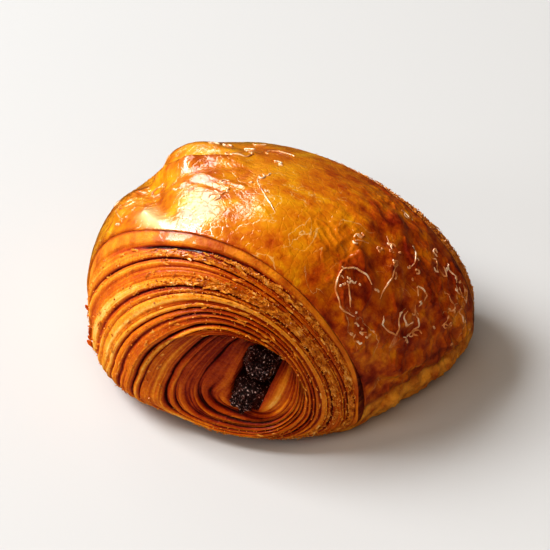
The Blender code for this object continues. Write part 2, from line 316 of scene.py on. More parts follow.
spiral = {
    "seed": {"front": 0.0, "back": 40.0},
    "columns": 470,
    "insideStep": 3.0 * mm,  # how far the hidden wall lies under the crust
    "insideUp": 8 * mm,
    "insideLowest": 1.5 * mm,
    "start": -0.03,  # the share where the first turn starts, and how it grows with the turns
    "growth": 0.135,
    "quickening": 0.003,
    "flatterTop": 0.11,
    "hump": (0.3, radians(101), radians(32)),  # height, middle and width, as in all such threes here
    "wander": 0.12,
    "cutBelow": 0.45,
    "cutBelowWidth": radians(75),
    "wraps": range(-1, 7),
    "layerStarts": (0.0, 0.38, 0.7),  # in the sheet, which is one turn thick
    "layerShift": 0.06,  # how far a layer's edge wanders, as a share of the sheet
    "layerDepth": 1.25 * mm,
    "layerUneven": (0.75, 1.0, 0.2, 1.5),  # middle, spread and limits, as in all such fours here
    "lipAt": 0.2,
    "lipUneven": (1.15, 1.6, 0.5, 2.2),
    "lipFall": 1.9,
    "grooveDepth": 1.05 * mm,
    "grooveUneven": (0.7, 1.0, 0.2, 1.3),
    "grooveOuterShare": 0.4,
    "leaves": 3,  # in each layer
    "leafRows": (0.0, 0.2, 0.6),
    "leafDepth": 0.34 * mm,
    "leafUneven": (0.5, 1.5, 0.0, 1.3),
    "merged": (1.0, radians(162), radians(72)),  # on this side layers baked into one
    "mergedUneven": (1.0, 1.2, 0.0, 1.0),
    "mergedFlatter": {"groove": 0.6, "leaf": 0.5, "layer": 0.3},
    "flatSide": (0.6, radians(22), radians(58)),  # and on this side they were pressed flat
    "reliefFrom": 0.05,
    "reliefTo": 0.985,
    "funnel": {"front": 9.0 * mm, "back": 5.0 * mm},
    "funnelEdge": 0.26,
    "funnelSteep": (1.0, radians(85), radians(75)),
    "funnelShallow": (0.5, radians(-15), radians(45)),
    "funnelWider": 0.2,  # away from its steep side
    "funnelCalm": (0.35, 0.12, 0.29),  # how much the layers flatten in it, between two shares
    "bowlCurve": 1.5,
    "wellCurve": 3.5,
    "finerInside": (0.8, 0.2, 0.4),  # how much the leaves stand out in it, between two shares
    "crackAt": (1.0, 0.925, 0.007),  # under the rim's top, by share and by angle
    "crackAround": (1.0, radians(97), radians(30)),
    "crackDepth": 0.9 * mm,
    "band": (0.935, 0.95),  # the smooth rim starts and is full
    "bandWander": 0.012,
    "bandFlatter": 0.95,
    "glazedAt": (1.0, 0.95, 0.04),
    "glazedAround": (1.0, radians(90), radians(38)),
    "gapWidths": (0.16, 0.12),  # of the painted shade lines, darker dough in the grooves under and over a layer
    "gapUneven": (0.6, 1.6, 0.15, 1.2),
    "relief": {
        "coarse depth": 0.5 * mm,
        "coarse span": 3 * mm,
        "fine depth": 0.22 * mm,
        "fine span": 0.8 * mm,
        "seed": 3,
    },
}

hollowPaintedShade = {  # painted shade that darkens the layers in the funnel, and painted light that lightens its right wall, by angle
    "everywhere": 0.25,
    "top": (0.75, radians(85), radians(80)),
    "lowerRight": (0.8, radians(-15), radians(40)),
    "left": (0.15, radians(175), radians(40)),
    "paintedLightOnRightWall": (0.35, radians(-25), radians(35)),
    "fades": (0.12, 0.36),  # between these shares
    "mouth": 0.05,
    "wallFades": (0.07, 0.2),
}


def spiralShare(turns, angle, seed):
    wander = softNoise(np.cos(angle), np.sin(angle), turns + seed)
    turns = turns + spiral["wander"] * wander + swell(angle, *spiral["hump"])
    share = spiral["start"] + spiral["growth"] * turns + spiral["quickening"] * turns**2
    width = spiral["cutBelowWidth"]
    below = bell(angle + pi / 2, width) + bell(angle - 3 * pi / 2, width)
    return np.clip(share * (1 + spiral["cutBelow"] * below), 0, 1)


def rolledSheet(angle, atBack):  # where each point of a cut end lies in the sheet
    edges = spiral["layerStarts"] + (1.0,)
    rows = []
    for wrap in spiral["wraps"]:
        for layer in range(len(edges) - 1):
            for leaf in range(spiral["leaves"]):
                for part in spiral["leafRows"]:
                    step = (leaf + part) / spiral["leaves"]
                    through = edges[layer] + (edges[layer + 1] - edges[layer]) * step
                    rows.append((wrap, layer, step, layer * spiral["leaves"] + leaf, part, through))
    names = ("wrap", "layer", "step", "leaf", "part", "through")
    sheet = SimpleNamespace(**{name: np.array(column)[:, None] for name, column in zip(names, zip(*rows))})
    sheet.seed = spiral["seed"]["back" if atBack else "front"]
    sheet.angle = angle
    sheet.lastLayer = len(spiral["layerStarts"]) - 1
    turn = (angle + pi / 2) / (2 * pi)
    sheet.along = sheet.wrap + turn + spiral["flatterTop"] * np.sin(2 * pi * turn)
    shift = softNoise(2.6 * sheet.along, 2.1 * sheet.through, sheet.seed + 17.0)
    sheet.shifted = sheet.through + spiral["layerShift"] * shift
    sheet.share = spiralShare(sheet.along + sheet.shifted, angle, sheet.seed)
    return sheet


def layerRelief(sheet, merged):  # how far a point lies below the layer's lip
    layer, step, last = sheet.layer, sheet.step, sheet.lastLayer
    depth = uneven(*spiral["layerUneven"], 2.2 * sheet.along, 5.3 * layer, sheet.seed + 3.1)
    depth = spiral["layerDepth"] * depth
    lipAt = spiral["lipAt"] * uneven(*spiral["lipUneven"], 2.3 * sheet.along, 4.1 * layer, sheet.seed + 21.0)
    lip = smooth(0, lipAt, step) * (1 - step ** spiral["lipFall"])
    wideStep = np.clip(sheet.through / spiral["layerStarts"][-1], 0, 1)
    wideLip = smooth(0, 0.7 * lipAt, wideStep) * (1 - wideStep ** spiral["lipFall"])
    lip = np.where(layer < last, lip + (wideLip - lip) * merged, lip)
    groove = spiral["grooveDepth"] * uneven(*spiral["grooveUneven"], 2.5 * sheet.along, 1.7, sheet.seed + 0.3)
    groove = groove * (1 - spiral["mergedFlatter"]["groove"] * merged)
    inner = (layer == 0) * (step == 0)
    outer = (layer == last) * smooth(0.4, 1, step)
    return depth * (1 - lip) + groove * (inner + spiral["grooveOuterShare"] * outer)


def leafRelief(sheet):  # the thin leaves' own steps, stronger here and weaker there
    strength = uneven(*spiral["leafUneven"], 3.1 * sheet.along, 3.7 * sheet.leaf, sheet.seed + 9.2)
    lip = smooth(0, 0.2, sheet.part) * (1 - sheet.part)
    return spiral["leafDepth"] * strength * (1 - lip)


def funnelDepth(share, angle):  # a steep well on one side of the hollow, a soft bowl on the other
    steep = swell(angle, *spiral["funnelSteep"])
    towardsEdge = np.clip(share / (spiral["funnelEdge"] + spiral["funnelWider"] * (1 - steep)), 0, 1)
    bowl, well = (1 - towardsEdge) ** spiral["bowlCurve"], 1 - towardsEdge ** spiral["wellCurve"]
    deep = bowl + (well - bowl) * steep
    return deep * (1 - swell(angle, *spiral["funnelShallow"]))


def paintedHollowShade(share, angle):  # painted shade of the hollow on a place: most under its top, least at its lower right, and painted light on its right wall
    around = hollowPaintedShade["everywhere"] + swell(angle, *hollowPaintedShade["top"])
    around = around * (1 - swell(angle, *hollowPaintedShade["lowerRight"])) + swell(angle, *hollowPaintedShade["left"])
    fading, mouth = smooth(*hollowPaintedShade["fades"], share), smooth(0.0, hollowPaintedShade["mouth"], share)
    shade = np.maximum((1 - fading) * around, 1 - mouth)
    return shade - swell(angle, *hollowPaintedShade["paintedLightOnRightWall"]) * (1 - smooth(*hollowPaintedShade["wallFades"], share))


def spiralRows(angle, atBack):  # a cut end's points, what its material reads, and the points' shares
    end, side = ("back", 1) if atBack else ("front", -1)
    sheet = rolledSheet(angle, atBack)
    share, along, seed = sheet.share, sheet.along, sheet.seed
    mouthX, mouthZ = hollowOutline(angle, atBack, smooth(0, batons["ovalFrom"], share))
    rimX, rimY, rimZ = bodyPoint(side * rimAngle(angle, atBack), angle)
    x = mouthX + (rimX - mouthX) * share
    z = mouthZ + (rimZ - mouthZ) * share
    y = np.where(share < 1, domeY(x, z, atBack), rimY)
    y = y - side * spiral["funnel"][end] * funnelDepth(share, angle)
    atLeft, flatter = swell(angle, *spiral["merged"]), spiral["mergedFlatter"]
    merged = atLeft * uneven(*spiral["mergedUneven"], 1.3 * along, 2.0, seed + 30.0)
    layers = layerRelief(sheet, merged) * (1 - swell(angle, *spiral["flatSide"]))
    leaves = leafRelief(sheet) * (1 - flatter["leaf"] * atLeft)
    calm, calmFrom, calmTo = spiral["funnelCalm"]
    finer, finerFrom, finerTo = spiral["finerInside"]
    layers = layers * (1 - flatter["layer"] * atLeft) * (1 - calm * (1 - smooth(calmFrom, calmTo, share)))
    leaves = leaves * (1 + finer * (1 - smooth(finerFrom, finerTo, share)))
    crack = swell(share, *spiral["crackAt"]) * swell(angle, *spiral["crackAround"])
    band = smooth(*spiral["band"], share + spiral["bandWander"] * softNoise(5 * along, 1.0, seed + 2.0))
    fade = smooth(0, spiral["reliefFrom"], share) * (1 - smooth(spiral["reliefTo"], 1, share))
    relief = (layers + leaves) * fade * (1 - spiral["bandFlatter"] * band) + spiral["crackDepth"] * crack
    rows = np.stack([x, y, z], axis=-1) - domeNormal(x, z, atBack) * relief[..., None]
    return rows, spiralLooks(sheet, relief, band, crack), share


def spiralLooks(sheet, relief, band, crack):  # one number for each point and look
    share, angle, layer, step = sheet.share, sheet.angle, sheet.layer, sheet.step
    # lip is high at the lips and low down in the grooves: the lips' own paler colour, and painted shade
    # deeper down
    lip = np.clip(1 - relief / (spiral["layerDepth"] + spiral["leafDepth"]), 0, 1) * (1 - band) + 0.5 * band
    under, over = spiral["gapWidths"]
    paintedGrooveShade = (layer == 0) * bell(step, under) + (layer == sheet.lastLayer) * bell(1 - step, over)
    paintedGrooveShade = paintedGrooveShade * uneven(*spiral["gapUneven"], 1.9 * sheet.along, 0.7, sheet.seed + 12.0)
    shown = smooth(radians(-25), radians(5), angle) * smooth(radians(190), radians(150), angle)
    tone = softNoise(1.7 * sheet.along, 2.9 * sheet.leaf + 0.6 * sheet.wrap, sheet.seed + 5.0)
    return {
        "lip": lip + (0.42 - lip) * 0.1 * (1 - smooth(0.15, 0.33, share)),
        "band": band * smooth(1.0, 0.985, share),
        # painted shade: darker dough in the grooves under and over each layer and in the crack under the rim
        "paintedGrooveShade": paintedGrooveShade * (1 - band) * smooth(0.5, 0.75, share) * shown + 1.4 * crack,
        "glazed": swell(share, *spiral["glazedAt"]) * swell(angle, *spiral["glazedAround"]),
        "tone": tone * (1 - band),
        # painted shade of the hollow, and painted light on its right wall
        "deep": paintedHollowShade(share, angle),
        "along": sheet.along,
        "across": sheet.wrap + sheet.shifted,
    }


def addGrid(mesh, rows, holders, looks, shift):  # the last column joins the first, shift rows on
    rows = rows.copy()
    rows[..., 2] = np.maximum(rows[..., 2], 0.0)
    rowCount, pointCount = rows.shape[:2]
    points = []
    for i in range(rowCount):
        line = []
        for j in range(pointCount):
            point = mesh.verts.new(rows[i, j])
            for mark, holder in holders.items():
                point[holder] = looks[mark][i, j]
            line.append(point)
        points.append(line)
    for i in range(rowCount - 1):
        for j in range(pointCount):
            step = shift if j == pointCount - 1 else 0
            if i + 1 + step >= rowCount:
                continue
            k = (j + 1) % pointCount
            mesh.faces.new((points[i][j], points[i + step][k], points[i + 1 + step][k], points[i + 1][j]))


def newPiece(name, mesh):  # closed, its faces outwards, and at its place
    weld = 0.002 * mm
    bmesh.ops.remove_doubles(mesh, verts=mesh.verts, dist=weld)
    bmesh.ops.dissolve_degenerate(mesh, edges=mesh.edges, dist=weld)
    loose = [vertex for vertex in mesh.verts if not vertex.link_faces]
    bmesh.ops.delete(mesh, geom=loose, context="VERTS")
    bmesh.ops.recalc_face_normals(mesh, faces=mesh.faces)
    bmesh.ops.translate(mesh, verts=mesh.verts, vec=roll["shift"])
    data = bpy.data.meshes.new(name)
    mesh.to_mesh(data)
    mesh.free()
    data.shade_smooth()
    return addObject(name, data)


def gridPiece(name, grids):  # one piece of grids, each with its rows, its looks and its shift
    mesh = bmesh.new()
    holders = {mark: mesh.verts.layers.float.new(mark) for mark in grids[0][1]}
    for rows, looks, shift in grids:
        addGrid(mesh, rows, holders, looks, shift)
    return newPiece(name, mesh)


def spiralPiece(name, atBack):  # one spiral end, closed by plain walls hidden inside the roll
    angle = ringAngles(spiral["columns"])
    rows, looks, _ = spiralRows(angle, atBack)
    middle = np.stack([*bodyPoint(0.0, angle)[::2]], axis=-1)
    inside = np.array([batons["frontHollow"][0], roll["widestHeight"] + spiral["insideUp"]])
    away = middle - inside
    away *= 1 - spiral["insideStep"] / np.linalg.norm(away, axis=-1, keepdims=True)
    outerRing = np.stack([inside[0] + away[:, 0], 0 * angle, inside[1] + away[:, 1]], axis=-1)
    outerRing[:, 2] = np.maximum(outerRing[:, 2], spiral["insideLowest"])
    mouths = [hollowOutline(angle, end, 0.0) for end in (False, True)]
    half = [(front + back) / 2 for front, back in zip(*mouths)]
    innerRing = np.stack([half[0], 0 * angle, half[1]], axis=-1)
    walls = np.stack([rows[-1], outerRing, innerRing, rows[0]])
    wallLooks = {key: np.stack([value[-1], value[-1], value[0], value[0]]) for key, value in looks.items()}
    rowsPerWrap = len(spiral["layerStarts"]) * spiral["leaves"] * len(spiral["leafRows"])
    return gridPiece(name, [(rows, looks, rowsPerWrap), (walls, wallLooks, 0)])


# the crust: a shell over the roll, with its folds, its blisters and its unglazed side

crust = {
    "columns": 545,
    "rings": 168,
    "crowding": 1.6,
    "edge": 0.55 * mm,  # how far the crust stands over the layers
    "edgeWander": 0.006,
    "inner": 0.9 * mm,  # and how far it reaches under the outer form
    "innerShares": (0.985, 0.93, 0.8, 0.6, 0.4, 0.2, 0.07, 0.015),
    "innerLowest": 0.8 * mm,
    "lip": (0.4, 0.5 * mm),  # how much of the outer ring it takes, and how far it stands out
    "swelling": 1.3 * mm,
    "swellingSpan": 30 * mm,
    "dentHeights": (25 * mm, 40 * mm),
    "side": (0.5, 0.8),  # from where to where the right side begins
    "seamHeight": 10.5 * mm,
    "seamDepth": 1.6 * mm,
    "seamWidth": 1.8 * mm,
    "footTuck": 0.6 * mm,
    "footTop": 21 * mm,
    "tornHeight": 1.1 * mm,
    "tornWidth": 1.3 * mm,
    "tornPale": 2.2 * mm,
    "waveSide": (0.3, 0.75),
    "waveHeight": 1.1 * mm,  # where the thick wash dried in waves
    "waveSpan": 4.2 * mm,
    "wrinkleSpan": 3.4 * mm,
    "wrinkleLimits": (0.03, 0.5),  # in mm: everywhere, and at most on top of that
    "wrinkleBend": 0.8,
    "wrinkleWidth": 0.35,
    "paleHeights": (11.5 * mm, 9 * mm),  # low on the side it wasn't washed
    "paleWander": 1.4 * mm,
    "paleWanderSpan": 6 * mm,
    "paleSide": (0.35, 0.7),
    "paleFoot": (7 * mm, 3 * mm),
    "darkSide": (0, 40 * mm),
    # painted light: the far right of the crust is made less dark
    "paintedLightFarRight": (0.35, 39 * mm, 48 * mm),
    "darkLow": (0.2, 36 * mm, 14 * mm),
    "browned": (0.03, 0.97),  # the edges at both ends darker: caramel baked darker there, and painted shade under the crust's edge
    "relief": {
        "coarse depth": 0.45 * mm,
        "coarse span": 7 * mm,
        "fine depth": 0.07 * mm,
        "fine span": 1.5 * mm,
        "seed": 7,
    },
}

dents = (  # ends (x, y), depth, width
    ((-16 * mm, 16 * mm), (7 * mm, -22 * mm), 1.2 * mm, 6.0 * mm),
    ((-46 * mm, 14 * mm), (-17 * mm, -23 * mm), 3.2 * mm, 4.2 * mm),
)

folds = (  # ridges: ends (x, y, z) in mm, height in mm, width in mm
    ((-9, 5, 55), (-34, -3, 45), 0.9, 2.6),
    ((-8, 1, 56), (-17, -10, 56), 0.6, 1.8),
    ((-22, -20, 51), (-15, -24, 54), 1.1, 1.9),
    ((-15, -24, 54), (-11, -27, 53), 0.9, 1.7),
    ((-33, -17, 43), (-34, -7, 44), 0.8, 2.2),
    ((21, 29, 43), (46, 23, 29), 0.9, 1.8),
)

seams = (  # the same between places of the crust: share and angle in degrees at both ends
    ((0.64, 132), (0.66, 106), 1.5, 4.0),
    ((0.37, 116), (0.345, 97), -0.55, 0.9),
    ((0.41, 112), (0.42, 92), 0.35, 0.9),
    ((0.3, 80), (0.12, 60), 0.3, 0.6),
    ((0.03, 20), (0.17, 3), -0.7, 1.2),
    ((0.25, 7), (0.42, 6), 0.8, 1.8),
    ((0.48, 130), (0.505, 116), 1.9, 3.2),
    ((0.505, 116), (0.59, 106), 1.5, 3.0),
    ((0.0, -22), (0.2, -3), -0.9, 0.8),
    ((0.1, -24), (0.45, -5), -0.8, 0.7),
    ((0.3, -18), (0.75, -6), -0.7, 0.8),
    ((0.12, 6), (0.42, 2), -0.9, 1.1),
)

blisters = (  # crust share, angle in degrees, length, width, heading in degrees, height in mm
    (0.225, 39.5, 7.0, 4.3, 60, 0.4),
    (0.265, 46.5, 3.4, 2.6, 20, 0.45),
    (0.28, 24.5, 3.2, 2.6, 80, 0.6),
    (0.40, 23.0, 4.2, 3.4, 70, 0.7),
    (0.445, 34.5, 5.0, 1.3, 75, 0.5),
    (0.455, 54.0, 1.9, 1.2, 20, 0.4),
    (0.62, 42.5, 3.2, 1.3, 80, 0.45),
    (0.545, 28.0, 2.3, 1.8, 60, 0.5),
    (0.625, 22.5, 3.4, 2.1, 70, 0.6),
    (0.72, 19.0, 2.6, 1.7, 70, 0.5),
    (0.86, 24.5, 3.6, 2.0, 75, 0.55),
    (0.10, 25.0, 2.5, 1.5, 50, 0.4),
    (0.30, 12.5, 2.4, 1.6, 30, 0.4),
    (0.155, 31.0, 2.2, 1.4, 60, 0.4),
)

blisterForm = {
    "reach": 3.0,  # in radii of its own
    "uneven": 0.55,
    "unevenSpan": 1.3,
    "dome": (0.45, 0.6, 1.2),  # its share of the height, and between which radii it falls
    "rim": (0.75, 0.95),  # its share of the height and its radius
    "rimWidth": 0.2475,
    "cover": (0.9, 1.5),
}

flats = (  # smooth places: crust share, angle in degrees, radius and depth in mm, and how calm they are
    (0.19, 101, 11.0, 1.5, 1),
    (0.48, 114, 7.0, 0.5, 1),
    (0.7, 126, 9.5, -2.6, 0),
)

golden = (  # paler patches where the wash ran thin: crust share, angle in degrees, radius in mm
    (0.49, 66, 4.5),
    (0.4, 64, 4.0),
    (0.465, 54, 3.5),
    (0.37, 54, 4.0),
    (0.385, 37, 3.5),
    (0.18, 60, 4.5),
    (0.3, 80, 6.0),
    (0.62, 92, 7.0),
    (0.85, 120, 6.0),
    (0.6, 150, 5.0),
)

stretched = ((0.14, 122), (0.08, 117), (0.04, 110), (0.0, 105))  # a pale ridge of torn glaze by the rim

wrinkled = (  # places with fine wrinkles: crust share, angle in degrees, radius in mm, depth in mm
    (0.1, 110, 4.0, 0.3),
    (0.05, 82, 4.0, 0.35),
    (0.2, 138, 8.0, 0.35),
    (0.4, 128, 8.0, 0.25),
    (0.1, 24, 6.0, 0.55),
    (0.3, 12, 7.0, 0.5),
    (0.7, 24, 12.0, 0.5),
    (0.42, 58, 9.0, 0.3),
    (0.95, 60, 9.0, 0.45),
    (0.75, 150, 14.0, 0.35),
    (0.3, -8, 9.0, 0.5),
    (0.62, -8, 11.0, 0.6),
)


def crustSpot(share, degrees):  # a point of the plain form
    around = radians(degrees)
    front, back = -rimAngle(around, False), rimAngle(around, True)
    return np.array(bodyPoint(front + (back - front) * share, around))


def spotBell(points, share, degrees, radius):  # 1 at a place of the crust, less round it
    return bell(np.linalg.norm(points - crustSpot(share, degrees), axis=-1), radius * mm)


def distanceToLine(points, start, end):
    start, end = np.array(start), np.array(end)
    length = ((end - start) ** 2).sum()
    share = np.clip(((points - start) @ (end - start)) / length, 0, 1)
    return np.linalg.norm(points - start - share[..., None] * (end - start), axis=-1)


def stretchedAway(points):
    spots = [crustSpot(*place) for place in stretched]
    return np.minimum.reduce([distanceToLine(points, a, b) for a, b in zip(spots, spots[1:])])


def wrinkleRelief(points):
    least, most = crust["wrinkleLimits"]
    weight = np.minimum(sum(depth * spotBell(points, *place) for *place, depth in wrinkled), most) + least
    x, y, z = np.moveaxis(points, -1, 0) / crust["wrinkleSpan"]
    bend = crust["wrinkleBend"] * softNoise(x / 3, y / 3, z / 3 + 7)
    wrinkles = 1 - np.abs(softNoise(x + bend, 1.7 * y, z + bend)) / crust["wrinkleWidth"]
    return weight * mm * np.clip(wrinkles, -0.4, 1) ** 2 * np.sign(wrinkles)


def crustRelief(points):
    x, y, z = np.moveaxis(points, -1, 0)
    span, wave = crust["swellingSpan"], crust["waveSpan"]
    relief = crust["swelling"] * softNoise(x / span, y / span, z / span)
    top = smooth(*crust["dentHeights"], z)
    for start, end, depth, width in dents:
        relief -= depth * top * bell(distanceToLine(points[..., :2], start, end), width)
    side = smooth(*crust["side"], x / roll["halfWidth"])
    relief -= side * crust["seamDepth"] * bell(z - crust["seamHeight"], crust["seamWidth"])
    relief -= side * crust["footTuck"] * smooth(crust["footTop"], 0, z)
    lines = [(np.array(start) * mm, np.array(end) * mm, *sizes) for start, end, *sizes in folds]
    lines += [(crustSpot(*start), crustSpot(*end), *sizes) for start, end, *sizes in seams]
    for start, end, height, width in lines:
        relief += height * mm * bell(distanceToLine(points, start, end), width * mm)
    for share, degrees, radius, depth, smoothness in flats:
        relief -= depth * mm * spotBell(points, share, degrees, radius)
    relief += crust["tornHeight"] * bell(stretchedAway(points), crust["tornWidth"])
    wet = smooth(*crust["waveSide"], x / roll["halfWidth"])
    relief += wet * crust["waveHeight"] * softNoise(x / wave, y / wave, z / wave + 2)
    return relief + wrinkleRelief(points)


def blisterRelief(points):  # how high the bubbles raise each point, and how far they cover it
    relief, cover = np.zeros(points.shape[:2]), np.zeros(points.shape[:2])
    domeShare, domeFrom, domeTo = blisterForm["dome"]
    rimShare, rimAt = blisterForm["rim"]
    for number, (share, degrees, length, width, heading, height) in enumerate(blisters):
        around, turn = radians(degrees), radians(heading)
        front, back = -rimAngle(around, False), rimAngle(around, True)
        steps = ((share, around), (share + 0.01, around), (share, around + 0.01))
        spot, behind, above = (np.array(bodyPoint(front + (back - front) * s, a)) for s, a in steps)
        backward, upward = ((place - spot) / np.linalg.norm(place - spot) for place in (behind, above))
        away = points - spot
        u = away @ (upward * sin(turn) + backward * cos(turn)) / (length * mm)
        v = away @ (upward * cos(turn) - backward * sin(turn)) / (width * mm)
        near = u**2 + v**2 < blisterForm["reach"] ** 2
        span = blisterForm["unevenSpan"]
        wobble = softNoise(u[near] * span + number * 7, v[near] * span, 0.5 + number)
        radius = np.full(points.shape[:2], 9.0)
        radius[near] = np.hypot(u[near], v[near]) * (1 + blisterForm["uneven"] * wobble)
        dome = domeShare * (1 - smooth(domeFrom, domeTo, radius))
        rim = rimShare * bell(radius - rimAt, blisterForm["rimWidth"] / min(length, width) ** 0.5)
        relief = np.maximum(relief, height * mm * (dome + rim))
        cover = np.maximum(cover, 1 - smooth(*blisterForm["cover"], radius))
    return relief, cover


def crustLooks(rings, shares, blistered):  # one number for each point and look
    x, y, z = np.moveaxis(rings, -1, 0)
    span = crust["paleWanderSpan"]
    low = smooth(*crust["paleHeights"], z + crust["paleWander"] * softNoise(x / span, y / span, 4.0))
    side = smooth(*crust["paleSide"], x / roll["halfWidth"])
    paintedLightFarRight, lessFrom, lessTo = crust["paintedLightFarRight"]
    darkLow, lowFrom, lowTo = crust["darkLow"]
    # darker to the right, and less dark again at the far right as painted light
    dark = smooth(*crust["darkSide"], x) - paintedLightFarRight * smooth(lessFrom, lessTo, x)
    front, back = crust["browned"]
    calm = 0.0
    for share, degrees, radius, depth, smoothness in flats:
        calm = calm + smoothness * spotBell(rings, share, degrees, 1.1 * radius)
    return {
        "pale": np.maximum(low * side, smooth(*crust["paleFoot"], z)),
        "torn": bell(stretchedAway(rings), crust["tornPale"]),
        "golden": np.clip(sum(spotBell(rings, *place) for place in golden), 0, 1),
        "calm": np.clip(calm, 0, 1),
        "blister": blistered,
        # darker at both ends: baked darker, and painted shade under the crust's edge
        "edge": 1 - smooth(0.0, front, shares) * (1 - smooth(back, 1.0, shares)),
        "dark": dark + darkLow * side * smooth(lowFrom, lowTo, z),
    }


def crustPiece(name):
    angle = ringAngles(crust["columns"], crust["crowding"])
    front, back = -rimAngle(angle, False), rimAngle(angle, True)
    wander = crust["edgeWander"] * softNoise(4 * np.cos(angle), 4 * np.sin(angle), 3.0)
    outerShares = np.linspace(0, 1, crust["rings"])
    shares = outerShares[:, None] + wander * (1 - 2 * outerShares[:, None])
    rings = np.stack(bodyPoint(front + (back - front) * shares, angle), axis=-1)
    inside = np.clip(np.sin(pi * outerShares), 0, 1)[:, None] ** 0.5
    blister, blistered = blisterRelief(rings)
    relief = crust["edge"] + inside * crustRelief(rings) + blister
    outer = rings + outward(rings) * relief[..., None]
    innerShares = np.array(crust["innerShares"])[:, None] + 0 * angle
    inner = np.stack(bodyPoint(front + (back - front) * innerShares, angle), axis=-1)
    innerRelief = -crust["inner"] + np.minimum(crustRelief(inner), 0)
    inner = inner - outward(inner) * innerRelief[..., None]  # these run from back to front
    inner[..., 2] = np.maximum(inner[..., 2], crust["innerLowest"])
    taken, out = crust["lip"]
    lipBack = outer[-1:] * taken + inner[:1] * (1 - taken) + np.array([0, out, 0])
    lipFront = outer[:1] * taken + inner[-1:] * (1 - taken) + np.array([0, -out, 0])
    everything = np.concatenate([outer, lipBack, inner, lipFront, outer[:1]])
    rest = len(everything) - len(outer)
    looks = crustLooks(rings, shares, blistered)
    for key, value in looks.items():
        looks[key] = np.concatenate([value, np.repeat(value[-1:], rest, axis=0)])
    return gridPiece(name, [(everything, looks, 0)])


# fine relief that follows a surface, made by geometry nodes

def reliefTree():
    tree, given = newTree("fineRelief", ("coarse depth", "coarse span", "fine depth", "fine span", "seed"))
    place = addNode(tree, "GeometryNodeInputPosition")
    facing = addNode(tree, "GeometryNodeInputNormal")
    total = 0.0
    for size in ("coarse", "fine"):
        scale = addNode(tree, "ShaderNodeMath", {0: 1.0, 1: given[size + " span"]}, operation="DIVIDE")
        inputs = {"Vector": place, "W": given["seed"], "Scale": scale}
        inputs.update({"Detail": 2.0, "Distortion": 0.4})
        grain = addNode(tree, "ShaderNodeTexNoise", inputs, noise_dimensions="4D")
        middle = addNode(tree, "ShaderNodeMath", {0: grain, 1: 0.5}, operation="SUBTRACT")
        inputs = {0: middle, 1: given[size + " depth"], 2: total}
        total = addNode(tree, "ShaderNodeMath", inputs, operation="MULTIPLY_ADD")
    calm = addNode(tree, "GeometryNodeInputNamedAttribute", {"Name": "calm"}, data_type="FLOAT")
    keep = addNode(tree, "ShaderNodeMath", {0: calm, 1: -0.72, 2: 1.0}, operation="MULTIPLY_ADD")
    total = addNode(tree, "ShaderNodeMath", {0: total, 1: keep}, operation="MULTIPLY")
    move = addNode(tree, "ShaderNodeVectorMath", {0: facing, 3: total}, operation="SCALE")
    height = addNode(tree, "ShaderNodeSeparateXYZ", {0: place})
    inputs = {0: height.outputs[2], 1: 0.2 * mm}  # the flat underside stays as it is
    lifted = addNode(tree, "FunctionNodeCompare", inputs, operation="GREATER_THAN")
    inputs = {"Geometry": given["Geometry"], "Selection": lifted, "Offset": move}
    moved = addNode(tree, "GeometryNodeSetPosition", inputs)
    return endTree(tree, moved, given["finish"])


def barePoints(name, places, edges, marks):  # loose points or chains for a tree, with their marks
    data = bpy.data.meshes.new(name)
    data.from_pydata([tuple(place) for place in places], edges, [])
    for mark, numbers in marks.items():
        kind, field = ("FLOAT", "value") if mark == "size" else ("FLOAT_VECTOR", "vector")
        data.attributes.new(mark, kind, "POINT").data.foreach_set(field, np.asarray(numbers).ravel())
    return addObject(name, data)


# loose flakes and crumbs on the layers' lips, spread by geometry nodes over chosen points

flakes = {
    "crumbs": {
        "sizes": {"length": 0.46 * mm, "width": 0.34 * mm, "thickness": 0.24 * mm, "turn": 1.5},
        "count": 4600,
        "lift": 0.03 * mm,
        "where": "lips",
    },
    "splinters": {
        "sizes": {"length": 2.3 * mm, "width": 0.5 * mm, "thickness": 0.13 * mm, "turn": 0.35},
        "count": 620,
        "lift": 0.1 * mm,
        "where": "lips",
    },
    "shards": {
        "sizes": {"length": 5.0 * mm, "width": 1.6 * mm, "thickness": 0.22 * mm, "turn": 0.35},
        "count": 14,
        "lift": 0.3 * mm,
        "where": "corner",
    },
}

flakeSpread = {
    "firstSeeds": (11, 4),  # of the places and of the turns
    "rimBand": (1.0, 0.895, 0.03),  # the most crumbly band, just under the rim
    "nextBand": (0.35, 0.7, 0.05),
    "elsewhere": 0.02,
    "cornerAngle": (1.0, radians(216), radians(10)),  # the big ones hang at the lower left
    "cornerShare": (1.0, 0.93, 0.05),
    "clearance": 1.5 * mm,  # over the floor
    "scatter": 0.15 * mm,
    "sizes": (0.5, 1.5),
}


